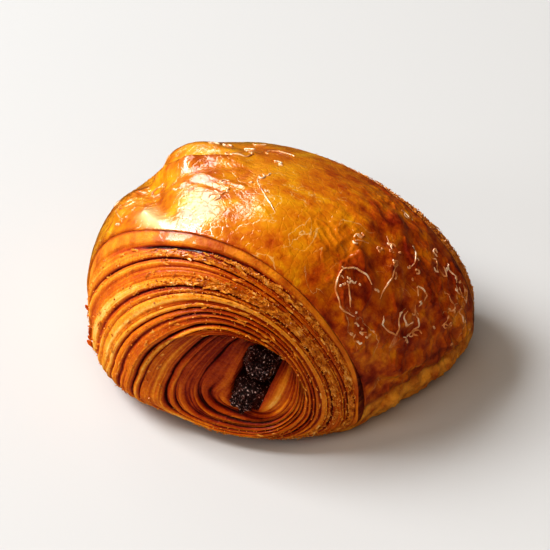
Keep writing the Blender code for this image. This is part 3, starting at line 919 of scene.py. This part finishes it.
def flakePoints(name, atBack, kind, seed):  # bare points on the lips, each with its run, facing and size
    angle = ringAngles(spiral["columns"])
    rows, looks, share = spiralRows(angle, atBack)
    rimBand = swell(share, *flakeSpread["rimBand"]) * smooth(radians(130), radians(60), angle)
    nextBand = swell(share, *flakeSpread["nextBand"]) * smooth(radians(140), radians(70), angle)
    weight = (rimBand + nextBand + flakeSpread["elsewhere"]) * smooth(0.55, 0.85, looks["lip"])
    weight = weight * smooth(0.24, 0.34, share) * (share < 0.93)
    if kind["where"] == "corner":
        weight = swell(angle, *flakeSpread["cornerAngle"]) * swell(share, *flakeSpread["cornerShare"])
    weight = weight * (rows[..., 2] > kind["sizes"]["length"] + flakeSpread["clearance"])
    chooser = np.random.default_rng(seed)
    picks = chooser.choice(weight.size, kind["count"], p=(weight / weight.sum()).ravel())
    i, j = np.unravel_index(picks, weight.shape)
    run = rows[i, (j + 1) % len(angle)] - rows[i, j - 1]
    run /= np.linalg.norm(run, axis=-1, keepdims=True)
    facing = domeNormal(rows[i, j, 0], rows[i, j, 2], atBack)
    places = rows[i, j] + facing * kind["lift"] + chooser.normal(0, flakeSpread["scatter"], (len(i), 3))
    places = places + np.array(roll["shift"])
    sizes = chooser.uniform(*flakeSpread["sizes"], len(i))
    return barePoints(name, places, [], {"run": run, "facing": facing, "size": sizes})


def flakeTree():
    tree, given = newTree("flakes", ("length", "width", "thickness", "turn", "seed"))
    read = {}
    for name, kind in (("run", "FLOAT_VECTOR"), ("facing", "FLOAT_VECTOR"), ("size", "FLOAT")):
        read[name] = addNode(tree, "GeometryNodeInputNamedAttribute", {"Name": name}, data_type=kind)
    upright = addNode(tree, "FunctionNodeAlignRotationToVector", {"Vector": read["facing"]}, axis="Z")
    inputs = {"Rotation": upright, "Vector": read["run"]}
    along = addNode(tree, "FunctionNodeAlignRotationToVector", inputs, axis="X", pivot_axis="Z")
    turn = addNode(tree, "ShaderNodeVectorMath", {0: (1.0, 1.0, 1.0), 3: given["turn"]}, operation="SCALE")
    back = addNode(tree, "ShaderNodeVectorMath", {0: turn, 3: -1.0}, operation="SCALE")
    inputs = {"Min": back, "Max": turn, "Seed": given["seed"]}
    tumble = addNode(tree, "FunctionNodeRandomValue", inputs, data_type="FLOAT_VECTOR")
    tumbled = addNode(tree, "FunctionNodeEulerToRotation", {0: tumble})
    inputs = {"Rotation": along, "Rotate By": tumbled}
    turned = addNode(tree, "FunctionNodeRotateRotation", inputs, rotation_space="LOCAL")
    inputs = {0: given["length"], 1: given["width"], 2: given["thickness"]}
    shape = addNode(tree, "ShaderNodeCombineXYZ", inputs)
    scale = addNode(tree, "ShaderNodeVectorMath", {0: shape, 3: read["size"]}, operation="SCALE")
    chip = addNode(tree, "GeometryNodeMeshIcoSphere", {"Radius": 0.5, "Subdivisions": 1})
    inputs = {"Points": given["Geometry"], "Instance": chip, "Rotation": turned}
    placed = addNode(tree, "GeometryNodeInstanceOnPoints", {**inputs, "Scale": scale})
    return endTree(tree, placed, given["finish"])


# thin raised ridges where the wash bubbled and dried, as tubes that follow paths over the crust

ridges = (  # places of the crust along each: share and angle in degrees
    ((0.35, 40), (0.365, 43), (0.34, 47), (0.275, 48.5), (0.215, 47), (0.155, 43.5), (0.105, 37), (0.15, 33)),
    ((0.26, 45), (0.265, 42.5), (0.29, 43)),
    ((0.235, 43.5), (0.195, 39.5), (0.16, 36.5)),
    ((0.49, 42), (0.445, 38), (0.35, 34.5)),
    ((0.31, 29), (0.275, 26.5), (0.295, 23.5), (0.32, 21), (0.365, 22.5), (0.395, 27.5), (0.44, 27.5)),
    ((0.475, 27), (0.465, 24), (0.455, 19), (0.42, 18), (0.385, 18), (0.35, 19.5)),
    ((0.44, 26.5), (0.415, 25), (0.41, 21.5), (0.43, 22), (0.44, 22)),
    ((0.5, 29.5), (0.525, 32), (0.545, 32), (0.55, 28), (0.515, 27)),
    ((0.69, 25), (0.69, 18.5), (0.665, 17.5), (0.645, 20)),
    ((0.845, 32), (0.855, 26.5)),
    ((0.825, 26), (0.785, 22.5), (0.855, 17.5), (0.92, 20.5), (0.9, 24)),
    ((0.67, 44.5), (0.655, 43), (0.57, 39)),
    ((0.45, 54.5), (0.47, 52)),
    ((0.625, 16.5), (0.56, 14.5)),
    ((0.065, 26), (0.095, 27.5)),
    ((0.125, 27.5), (0.155, 26.5)),
    ((0.575, 51.5), (0.53, 47)),
    ((0.5, 91.5), (0.43, 86), (0.375, 81.5), (0.31, 75.5)),
    ((0.2, 140.5), (0.08, 133.5)),
)

scattered = {  # loose rings between them, every third one on the right side
    "count": 22,
    "radius": (1.2 * mm, 3.6 * mm),
    "angles": (95, 172),
    "rightAngles": (5, 60),
    "shares": (0.2, 0.92),
    "rightFrom": 0.6,
    "seed": 21,
}

bubbles = {"count": 70, "radius": (0.3 * mm, 0.9 * mm), "spread": (0.018, 1.6)}  # small ones by the ridges

ridgeForm = {
    "sizes": {"radius": 0.31 * mm, "wobble": 0.5 * mm, "wobble span": 1.4 * mm},
    "steps": 7,  # between two places of a path
    "rounding": 3,
    "over": 6 * mm,  # from where a point is dropped on the crust
    "ends": 4,  # points over which an end thins out
    "endSize": 0.35,
    "shareLength": 75 * mm,  # what a whole share and one degree come to
    "degreeLength": 0.9 * mm,
}


def looseRing(share, degrees, radius, chooser):  # part of an uneven ring round a place of the crust
    turns = np.linspace(0, chooser.uniform(1.5, 5.5), 9) + chooser.uniform(0, 2 * pi)
    radii = radius * (1 + chooser.uniform(-0.3, 0.3, len(turns)))
    wide, high = ridgeForm["shareLength"], ridgeForm["degreeLength"]
    return [(share + r * cos(t) / wide, degrees + r * sin(t) / high) for t, r in zip(turns, radii)]


def allRidges():
    chooser = np.random.default_rng(scattered["seed"])
    paths = list(ridges)
    for number in range(scattered["count"]):
        onRight = number % 3 == 0
        degrees = chooser.uniform(*scattered["angles"])
        if onRight:
            degrees = chooser.uniform(*scattered["rightAngles"])
        low, high = scattered["shares"]
        share = chooser.uniform(scattered["rightFrom"] if onRight else low, high)
        paths.append(looseRing(share, degrees, chooser.uniform(*scattered["radius"]), chooser))
    for _ in range(bubbles["count"]):
        nearest = ridges[chooser.integers(len(ridges))]
        share, degrees = nearest[chooser.integers(len(nearest))]
        share += chooser.normal(0, bubbles["spread"][0])
        degrees += chooser.normal(0, bubbles["spread"][1])
        paths.append(looseRing(share, degrees, chooser.uniform(*bubbles["radius"]), chooser))
    return paths


def ridgePaths(name, shell):  # the paths as chains of edges that lie on the crust
    surface = bvhtree.BVHTree.FromPolygons(
        [vertex.co for vertex in shell.data.vertices],
        [face.vertices for face in shell.data.polygons],
    )
    places, edges, sizes = [], [], []
    for path in allRidges():
        corners = np.array(path)
        last = len(corners) - 1
        fine = np.linspace(0, last, ridgeForm["steps"] * last + 1)
        spots = np.stack([np.interp(fine, np.arange(last + 1), corners[:, k]) for k in (0, 1)], axis=-1)
        for _ in range(ridgeForm["rounding"]):
            spots[1:-1] = (spots[:-2] + 2 * spots[1:-1] + spots[2:]) / 4
        first = len(places)
        for number, (share, degrees) in enumerate(spots):
            spot = Vector(crustSpot(share, degrees)) + Vector(roll["shift"])
            away = (spot - Vector((0, 0.7 * spot.y, 15 * mm))).normalized()
            place = surface.ray_cast(spot + ridgeForm["over"] * away, -away)[0]
            places.append(tuple(place))
            end = min(min(number, len(spots) - 1 - number) / ridgeForm["ends"], 1)
            thick = 0.8 + 0.4 * noise.noise(place / (2 * mm))
            sizes.append(ridgeForm["endSize"] + (1 - ridgeForm["endSize"]) * end * thick)
        edges += [(i, i + 1) for i in range(first, len(places) - 1)]
    return barePoints(name, places, edges, {"size": sizes})


def ridgeTree():
    tree, given = newTree("ridges", ("radius", "wobble", "wobble span"))
    size = addNode(tree, "GeometryNodeInputNamedAttribute", {"Name": "size"}, data_type="FLOAT")
    lines = addNode(tree, "GeometryNodeMeshToCurve", {"Mesh": given["Geometry"]})
    wide = addNode(tree, "ShaderNodeMath", {0: size, 1: given["radius"]}, operation="MULTIPLY")
    place = addNode(tree, "GeometryNodeInputPosition")
    scale = addNode(tree, "ShaderNodeMath", {0: 1.0, 1: given["wobble span"]}, operation="DIVIDE")
    grain = addNode(tree, "ShaderNodeTexNoise", {"Vector": place, "Scale": scale})
    inputs = {0: grain.outputs["Color"], 1: (0.5, 0.5, 0.5)}
    middle = addNode(tree, "ShaderNodeVectorMath", inputs, operation="SUBTRACT")
    inputs = {0: middle, 3: given["wobble"]}
    move = addNode(tree, "ShaderNodeVectorMath", inputs, operation="SCALE")
    inputs = {"Geometry": lines, "Offset": move}
    moved = addNode(tree, "GeometryNodeSetPosition", inputs)
    profile = addNode(tree, "GeometryNodeCurvePrimitiveCircle", {"Resolution": 8, "Radius": 1.0})
    inputs = {"Curve": moved, "Profile Curve": profile, "Scale": wide}
    tubes = addNode(tree, "GeometryNodeCurveToMesh", {**inputs, "Fill Caps": True})
    soft = addNode(tree, "GeometryNodeSetShadeSmooth", {"Geometry": tubes})
    return endTree(tree, soft, given["finish"])


# dried egg wash: where it stood in bubbles it set as clear glassy threads, paler than the crust; their palest
# colour is a painted highlight, glints painted along them

driedEggWashWithPaintedGlints = {
    "noises": {"grain": (2.5 * mm, 3.0, 0.5, 0.0)},  # span, detail, roughness and distortion
    # the palest stops are painted glints as well as the threads' own paleness
    "colours": ((0.32, "#B85C20"), (0.68, "#FFE8C8"), (0.48, "#F0A868")),
    "surface": {"Roughness": 0.25, "IOR": 1.45, "Coat Weight": 1.0, "Coat Roughness": 0.05},
}

# dry crumbs and loose flakes of the same dough, paler because they baked thin

dryPastryFlakes = {
    "noises": {"grain": (1.5 * mm, 2.0, 0.5, 0.0)},
    "colours": ((0.25, "#8A3000"), (0.85, "#FFDC98"), (0.42, "#CC7010"), (0.6, "#F0A030")),
    "surface": {"Roughness": 0.35, "IOR": 1.45, "Coat Weight": 0.4, "Coat Roughness": 0.15},
}

# dark chocolate that melted in the oven and set again: near black, rough and broken, with small glints
# painted into its colour as pale specks

darkChocolateWithPaintedGlints = {
    "noises": {"grain": (0.5 * mm, 3.0, 0.5, 0.0)},
    # the palest stops are painted glints on the broken chocolate
    "colours": ((0.35, "#120605"), (0.7, "#FFE8E0"), (0.54, "#2A0E0A"), (0.61, "#70403A")),
    "bump": {"Distance": 0.3 * mm, "Strength": 0.9},
    "surface": {"Roughness": 0.3, "Coat Weight": 1.0, "Coat Roughness": 0.1},
}


def grainedMaterial(name, look):  # colours that follow one fine grain, with a bump where the look has one
    made, tree, shader, parts = newMaterial(name, look)
    colour = addNode(tree, "ShaderNodeValToRGB", {0: parts["grain"]}, stops=look["colours"])
    setInputs(tree, shader, {"Base Color": colour})
    if "bump" in look:
        bump = addNode(tree, "ShaderNodeBump", {"Height": parts["grain"], **look["bump"]})
        setInputs(tree, shader, {"Normal": bump})
    return made


def addUp(tree, total, parts, weights):  # each part times its weight, on top of a total
    for name, weight in weights.items():
        inputs = {0: parts[name], 1: weight, 2: total}
        total = addNode(tree, "ShaderNodeMath", inputs, operation="MULTIPLY_ADD")
    return total


# egg-washed crust: baked sugars under a thin clear glaze, so it is amber to brown and shines wet

eggWashedCrust = {
    "marks": ("dark", "pale", "edge", "blister", "golden", "torn"),
    "noises": {
        "broad": (13 * mm, 4.0, 0.5, 0.6),
        "patch": (4.5 * mm, 6.0, 0.62, 0.0),
        "speck": (1.1 * mm, 3.0, 0.5, 0.0),
        "vein": (16 * mm, 5.0, 0.5, 1.2),
        "wrinkle": (2.2 * mm, 6.0, 0.5, 1.2),
        "bend": (2 * mm, 3.0, 0.5, 0.0),
    },
    "browning": {
        "thin": -0.24,
        "pools": 0.44,
        "broad": 0.75,
        "patch": 0.85,
        "speck": 0.14,
        "edge": 0.1,
        "blister": 0.08,
    },
    "lightest": -0.49,
    "colours": (
        (0.0, "#FCC434"),
        (1.0, "#501000"),
        (0.22, "#F2A408"),
        (0.42, "#DC7C00"),
        (0.6, "#BC5000"),
        (0.78, "#8E2600"),
    ),
    "bareColours": ((0.34, "#B85406"), (0.66, "#FFB43C")),
    "crackColour": "#FFE0A0",
    "crackStrength": 0.5,
    "creaseSpan": 2.6 * mm,
    "creaseBend": 2.2 * mm,
    "creaseDepth": 0.4,
    "bareShine": -0.85,  # how much of the glaze the unwashed side lacks
    "bump": {"Distance": 0.15 * mm, "Strength": 0.75},
    "surface": {
        "Roughness": 0.45,
        "Specular IOR Level": 0.25,
        "IOR": 1.4,
        "Coat Roughness": 0.05,
        "Coat IOR": 1.7,
    },
}


def crustMaterial():
    look = eggWashedCrust
    made, tree, shader, parts = newMaterial("eggWashedCrust", look)
    inputs = {0: parts["dark"], 1: parts["patch"]}
    parts["pools"] = addNode(tree, "ShaderNodeMath", inputs, operation="MULTIPLY")
    inputs = {"Value": parts["patch"], "From Min": 0.42, "From Max": 0.58}
    ragged = addNode(tree, "ShaderNodeMapRange", inputs)
    parts["thin"] = addNode(tree, "ShaderNodeMath", {0: parts["golden"], 1: ragged}, operation="MULTIPLY")
    brown = addUp(tree, look["lightest"], parts, look["browning"])
    glazed = addNode(tree, "ShaderNodeValToRGB", {0: brown}, stops=look["colours"])
    offLine = addNode(tree, "ShaderNodeMath", {0: parts["vein"], 1: 0.5}, operation="SUBTRACT")
    offLine = addNode(tree, "ShaderNodeMath", {0: offLine}, operation="ABSOLUTE")
    inputs = {"Value": offLine, "From Min": 0.001, "From Max": 0.007}
    line = addNode(tree, "ShaderNodeMapRange", {**inputs, "To Min": look["crackStrength"], "To Max": 0.0})
    here = addNode(tree, "ShaderNodeMapRange", {"Value": parts["broad"], "From Min": 0.5, "From Max": 0.4})
    cracks = addNode(tree, "ShaderNodeMath", {0: line, 1: here}, operation="MULTIPLY")
    cracks = addNode(tree, "ShaderNodeMath", {0: cracks, 1: parts["torn"]}, operation="MAXIMUM")
    inputs = {0: cracks, 6: glazed, 7: linearColour(look["crackColour"])}
    cracked = addNode(tree, "ShaderNodeMix", inputs, data_type="RGBA")
    bare = addNode(tree, "ShaderNodeValToRGB", {0: parts["patch"]}, stops=look["bareColours"])
    inputs = {0: parts["pale"], 6: cracked.outputs[2], 7: bare}
    colour = addNode(tree, "ShaderNodeMix", inputs, data_type="RGBA")
    inputs = {0: parts["pale"], 1: look["bareShine"], 2: 1.0}
    shine = addNode(tree, "ShaderNodeMath", inputs, operation="MULTIPLY_ADD")
    inputs = {0: parts["bend"].outputs["Color"], 1: (look["creaseBend"],) * 3, 2: parts["where"]}
    bent = addNode(tree, "ShaderNodeVectorMath", inputs, operation="MULTIPLY_ADD")
    inputs = {"Vector": bent, "Scale": 1 / look["creaseSpan"]}
    cell = addNode(tree, "ShaderNodeTexVoronoi", inputs, feature="DISTANCE_TO_EDGE")
    inputs = {"Value": cell.outputs["Distance"], "From Min": 0.0, "From Max": 0.1}
    parts["crease"] = addNode(tree, "ShaderNodeMapRange", inputs)
    height = addUp(tree, parts["wrinkle"], parts, {"crease": look["creaseDepth"]})
    bump = addNode(tree, "ShaderNodeBump", {"Height": height, **look["bump"]})
    inputs = {"Base Color": colour.outputs[2], "Coat Weight": shine, "Normal": bump, "Coat Normal": bump}
    setInputs(tree, shader, inputs)
    return made


# baked laminated dough: dry thin leaves, pale and crisp at their lips, brown and buttery between them;
# painted shade darkens it down in the grooves, in the hollow and towards its right side, and painted light
# brightens the hollow's right wall

bakedLaminatedDough = {
    "marks": ("lip", "tone", "deep", "along", "across", "paintedGrooveShade", "band", "glazed"),
    "noises": {"patch": (6 * mm, 3.0, 0.5, 0.0), "grain": (0.7 * mm, 3.0, 0.5, 0.0)},
    "streaks": (11.0, 22.0, 1.0),  # how many along a wrap and across the sheet
    "sideways": (35 * mm, -0.71, -0.89),  # darker from the left side to the right one: a browner bake, and painted shade on the side away from the lamps
    "lightening": {
        # paler lips of their own, and painted shade down in the grooves
        "lip": 1.0,
        "tone": 0.24,
        "streak": 0.36,
        "patch": 0.3,
        "grain": 0.2,
        # painted shade in the grooves between layers
        "paintedGrooveShade": -0.16,
        # painted shade of the hollow, and painted light on its right wall
        "deep": -0.35,
    },
    "colours": (
        (0.0, "#3A0800"),
        (1.0, "#FFE6A8"),
        (0.14, "#841C00"),
        (0.3, "#B84800"),
        (0.46, "#D67000"),
        (0.6, "#EE9A20"),
        (0.78, "#FACA70"),
    ),
    "rimColours": ((0.3, "#B85000"), (0.7, "#F09418")),
    "shine": (0.8, 0.08),  # where the wash ran over the rim, and everywhere
    "bump": {"Distance": 0.3 * mm, "Strength": 0.8},
    "surface": {
        "Roughness": 0.55,
        "Specular IOR Level": 0.3,
        "IOR": 1.45,
        "Coat Roughness": 0.15,
        "Subsurface Weight": 0.25,
        "Subsurface Radius": (1.0, 0.35, 0.08),
        "Subsurface Scale": 1.6 * mm,
    },
}


def doughMaterial():
    look = bakedLaminatedDough
    made, tree, shader, parts = newMaterial("bakedLaminatedDough", look)
    sheet = addNode(tree, "ShaderNodeCombineXYZ", {0: parts["along"], 1: parts["across"]})
    inputs = {0: sheet, 1: look["streaks"]}
    drawn = addNode(tree, "ShaderNodeVectorMath", inputs, operation="MULTIPLY")
    inputs = {"Vector": drawn, "Scale": 1.0, "Detail": 4.0, "Roughness": 0.6}
    parts["streak"] = addNode(tree, "ShaderNodeTexNoise", inputs)
    half, left, right = look["sideways"]
    sideways = addNode(tree, "ShaderNodeSeparateXYZ", {0: parts["where"]})
    inputs = {"Value": sideways, "From Min": -half, "From Max": half}
    # darker rightwards: a browner bake, and painted shade on the side away from the lamps
    darker = addNode(tree, "ShaderNodeMapRange", {**inputs, "To Min": left, "To Max": right})
    light = addUp(tree, darker, parts, look["lightening"])
    colour = addNode(tree, "ShaderNodeValToRGB", {0: light}, stops=look["colours"])
    rim = addNode(tree, "ShaderNodeValToRGB", {0: parts["patch"]}, stops=look["rimColours"])
    inputs = {0: parts["band"], 6: colour, 7: rim}
    withRim = addNode(tree, "ShaderNodeMix", inputs, data_type="RGBA")
    most, least = look["shine"]
    shine = addNode(tree, "ShaderNodeMath", {0: parts["glazed"], 1: most, 2: least}, operation="MULTIPLY_ADD")
    bump = addNode(tree, "ShaderNodeBump", {"Height": parts["grain"], **look["bump"]})
    setInputs(tree, shader, {"Base Color": withRim.outputs[2], "Coat Weight": shine, "Normal": bump})
    return made


# the two chocolate batons and the broken bits on their ends

def inHollow(point, side):  # from a bar along Y to its place in the tilted hollow
    front = batons["hollowFrontY"]
    share = (point[1] - front) / (batons["backY"] - front)
    spacing = batons["spacing"][0] + (batons["spacing"][1] - batons["spacing"][0]) * share
    centre = [a + (b - a) * share for a, b in zip(batons["frontHollow"], batons["backHollow"])]
    x, z = tilted(centre, point[0], point[2] + side * spacing / 2)
    return Vector((x, point[1], z))


def batonPiece(name, place):  # a bar with softened edges and broken faces at its ends
    front, back, corner, worn = batons["frontY"][place], batons["backY"], batons["corner"], batons["worn"]
    around = np.linspace(0, 2 * pi, 97)[:-1]
    wide = batons["width"] / 2 * signedPower(np.cos(around), batons["squareEdges"])
    high = batons["thickness"] / 2 * signedPower(np.sin(around), batons["squareEdges"])
    outline = np.stack([wide, high], axis=-1)
    ends = [(corner * s**5, outline * s * worn) for s in np.linspace(0.02, 1, 16)]
    ends += [(corner * (1 + s), outline * (worn + (1 - worn) * s)) for s in (0.25, 0.5, 0.75)]
    bar = back - front - 2 * corner
    rows = [(front + y, shape) for y, shape in ends]
    rows += [(front + corner + bar * s, outline) for s in np.linspace(0, 1, 60)[1:-1]]
    rows += [(back - y, shape) for y, shape in reversed(ends)]
    mesh = bmesh.new()
    side = 1 if place == "upper" else -1
    grid = [[mesh.verts.new(inHollow((x, y, z), side)) for x, z in shape] for y, shape in rows]
    for line, nextLine in zip(grid, grid[1:]):
        for j in range(len(around)):
            k = (j + 1) % len(around)
            mesh.faces.new((line[j], line[k], nextLine[k], nextLine[j]))
    mesh.faces.new(grid[0])
    mesh.faces.new(grid[-1])
    return newPiece(name, mesh)


chocolateCrumbs = {
    "sizes": {"length": 1.5 * mm, "width": 1.1 * mm, "thickness": 0.8 * mm, "turn": 3.0},
    "count": 520,
    "seeds": {"upper": 31, "lower": 32},
    "offset": {"upper": (1.0 * mm, 0.9 * mm), "lower": (-0.3 * mm, -0.8 * mm)},  # across and up
    "spread": (0.4, 0.31),  # shares of a baton's width and thickness
    "middling": 0.6,
    "uneven": 0.5,
    "atFront": 0.6,
    "depth": 3.2 * mm,
    "smallest": 0.35,
    "larger": (1.4, 2.5),  # how much larger, and how rarely
}


def chocolateCrumbPoints(name, place):
    seed, count = chocolateCrumbs["seeds"][place], chocolateCrumbs["count"]
    chooser = np.random.default_rng(seed)
    reach = chooser.uniform(0, 1, count) ** chocolateCrumbs["middling"]
    around = chooser.uniform(0, 2 * pi, count)
    wobble = softNoise(1.5 * np.cos(around), 1.5 * np.sin(around), 0.1 * seed)
    reach = reach * (1 + chocolateCrumbs["uneven"] * wobble)
    wide, high = chocolateCrumbs["spread"]
    across, up = chocolateCrumbs["offset"][place]
    across = across + wide * batons["width"] * reach * np.cos(around)
    up = up + high * batons["thickness"] * reach * np.sin(around)
    atFront = chooser.random(count) < chocolateCrumbs["atFront"]
    deep = chooser.uniform(0.0, 1.0, count) ** 2 * chocolateCrumbs["depth"]
    y = np.where(atFront, batons["frontY"][place] + deep, batons["backY"] - deep)
    side = 1 if place == "upper" else -1
    places = np.array([inHollow(point, side) + Vector(roll["shift"]) for point in zip(across, y, up)])
    facing = np.where(atFront, -1.0, 1.0)[:, None] * np.array([[0.0, 1.0, 0.0]])
    run = np.repeat([[1.0, 0.0, 0.0]], count, axis=0)
    larger, rarely = chocolateCrumbs["larger"]
    sizes = chocolateCrumbs["smallest"] + larger * chooser.random(count) ** rarely
    return barePoints(name, places, [], {"run": run, "facing": facing, "size": sizes})


# the floor, the light and the camera

studio = {
    "azimuth": radians(32),
    "elevation": radians(42),
    "pixelsPerMetre": 3780,
    "distance": 0.633,
    "sensor": 36.0,
    "frameWidth": 550,
    "aim": (-1.12 * mm, 0.06 * mm, 25.3 * mm),
    "aimPixel": (260.3, 274.1),
    "colours": {"white": (1.0, 1.0, 1.0), "warm": (1.0, 0.81, 0.64)},
    "lamps": {  # azimuth, elevation, size, power, colour and what the lamp isn't seen by
        "softbox": (radians(-119), radians(43), (1.4, 1.3), 36.0, "white", "diffuse"),  # the highlight alone
        "window": (radians(-75), radians(46), (1.0, 1.0), 51.0, "white", ""),  # from the left, with shadows
        "fill": (radians(30), radians(60), (2.0, 2.0), 17.5, "warm", "glossy"),  # opens the shadows
        "card": (radians(-28), radians(28), (0.5, 0.5), 4.5, "white", "glossy"),  # low, into the hollow
    },
    "lampDistance": 2.0,
    "lampAim": 30 * mm,
    "worldStrength": 0.014,
    "floor": {"surface": {"Base Color": linearColour("#CACCCD"), "Roughness": 0.8}},
    "floorSize": 6.0,
}


def direction(azimuth, elevation):
    return Vector((sin(azimuth) * cos(elevation), -cos(azimuth) * cos(elevation), sin(elevation)))


def addFacing(name, data, place, towards):  # something that looks back along a direction
    made = addObject(name, data)
    made.location = place
    made.rotation_mode = "QUATERNION"
    made.rotation_quaternion = (-towards).to_track_quat("-Z", "Y")
    return made


def addLamp(name, azimuth, elevation, size, power, colour, hiddenFrom):
    data = bpy.data.lights.new(name, "AREA")
    data.shape = "RECTANGLE"
    data.size, data.size_y = size
    data.energy = power
    data.color = studio["colours"][colour]
    towards = direction(azimuth, elevation)
    place = Vector((0, 0, studio["lampAim"])) + towards * studio["lampDistance"]
    lamp = addFacing(name, data, place, towards)
    lamp.visible_diffuse = hiddenFrom != "diffuse"
    lamp.visible_glossy = hiddenFrom != "glossy"


def addCamera():
    towards = direction(studio["azimuth"], studio["elevation"])
    right = Vector((cos(studio["azimuth"]), sin(studio["azimuth"]), 0))
    up = towards.cross(right)
    centre = studio["frameWidth"] / 2
    scale = studio["pixelsPerMetre"]
    across, down = studio["aimPixel"]
    offset = right * (centre - across) / scale - up * (centre - down) / scale
    data = bpy.data.cameras.new("camera")
    data.sensor_width = studio["sensor"]
    data.lens = scale * studio["distance"] / studio["frameWidth"] * studio["sensor"]
    data.clip_start = 0.01
    place = Vector(studio["aim"]) + offset + towards * studio["distance"]
    bpy.context.scene.camera = addFacing("camera", data, place, towards)


def addStudio():
    half = studio["floorSize"] / 2
    data = bpy.data.meshes.new("floor")
    corners = [(-half, -half, 0), (half, -half, 0), (half, half, 0), (-half, half, 0)]
    data.from_pydata(corners, [], [(0, 1, 2, 3)])
    data.materials.append(newMaterial("paleFloor", studio["floor"])[0])
    floor = addObject("floor", data)
    floor.visible_glossy = False  # keeps a white veil off the glaze
    world = bpy.data.worlds.new("studio")
    world.use_nodes = True
    background = world.node_tree.nodes["Background"].inputs
    background["Color"].default_value = (1, 1, 1, 1)
    background["Strength"].default_value = studio["worldStrength"]
    bpy.context.scene.world = world
    bpy.context.scene.view_settings.view_transform = "Standard"
    bpy.context.scene.view_settings.look = "Medium High Contrast"
    for name, values in studio["lamps"].items():
        addLamp(name, *values)
    addCamera()


# everything put together

addStudio()
print("studio set")

dough, glaze = doughMaterial(), crustMaterial()
chocolate = grainedMaterial("darkChocolateWithPaintedGlints", darkChocolateWithPaintedGlints)
flakeFinish = grainedMaterial("dryPastryFlakes", dryPastryFlakes)
washFinish = grainedMaterial("driedEggWashWithPaintedGlints", driedEggWashWithPaintedGlints)
print("materials made")

relief, chips = reliefTree(), flakeTree()
frontSpiral = withNodes(spiralPiece("spiralFront", False), relief, spiral["relief"], dough)
backSpiral = withNodes(spiralPiece("spiralBack", True), relief, spiral["relief"], dough)
shell = withNodes(crustPiece("crust"), relief, crust["relief"], glaze)

bars = []
for place in ("upper", "lower"):
    bars.append(withNodes(batonPiece("chocolateBaton_" + place, place), relief, batons["relief"], chocolate))

loose = []
for kind, values in flakes.items():
    for atBack in (False, True):
        placeSeed, turnSeed = (seed + len(loose) for seed in flakeSpread["firstSeeds"])
        piece = flakePoints(kind + ("Back" if atBack else "Front"), atBack, values, placeSeed)
        loose.append(withNodes(piece, chips, {**values["sizes"], "seed": turnSeed}, flakeFinish))
loose.append(withNodes(ridgePaths("driedWashRidges", shell), ridgeTree(), ridgeForm["sizes"], washFinish))

chocolateBits = []
for place, seed in chocolateCrumbs["seeds"].items():
    piece = chocolateCrumbPoints("chocolateCrumbs_" + place, place)
    chocolateBits.append(withNodes(piece, chips, {**chocolateCrumbs["sizes"], "seed": seed}, chocolate))

for piece in [frontSpiral, backSpiral, shell] + loose:
    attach(piece, "root")
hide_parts("pastry")
for piece in chocolateBits:
    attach(piece, "root")
for bar, node in zip(bars, ("chocolate_baton_upper", "chocolate_baton_lower")):
    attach(bar, "root")
    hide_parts(node)
print("pieces joined to the frame")
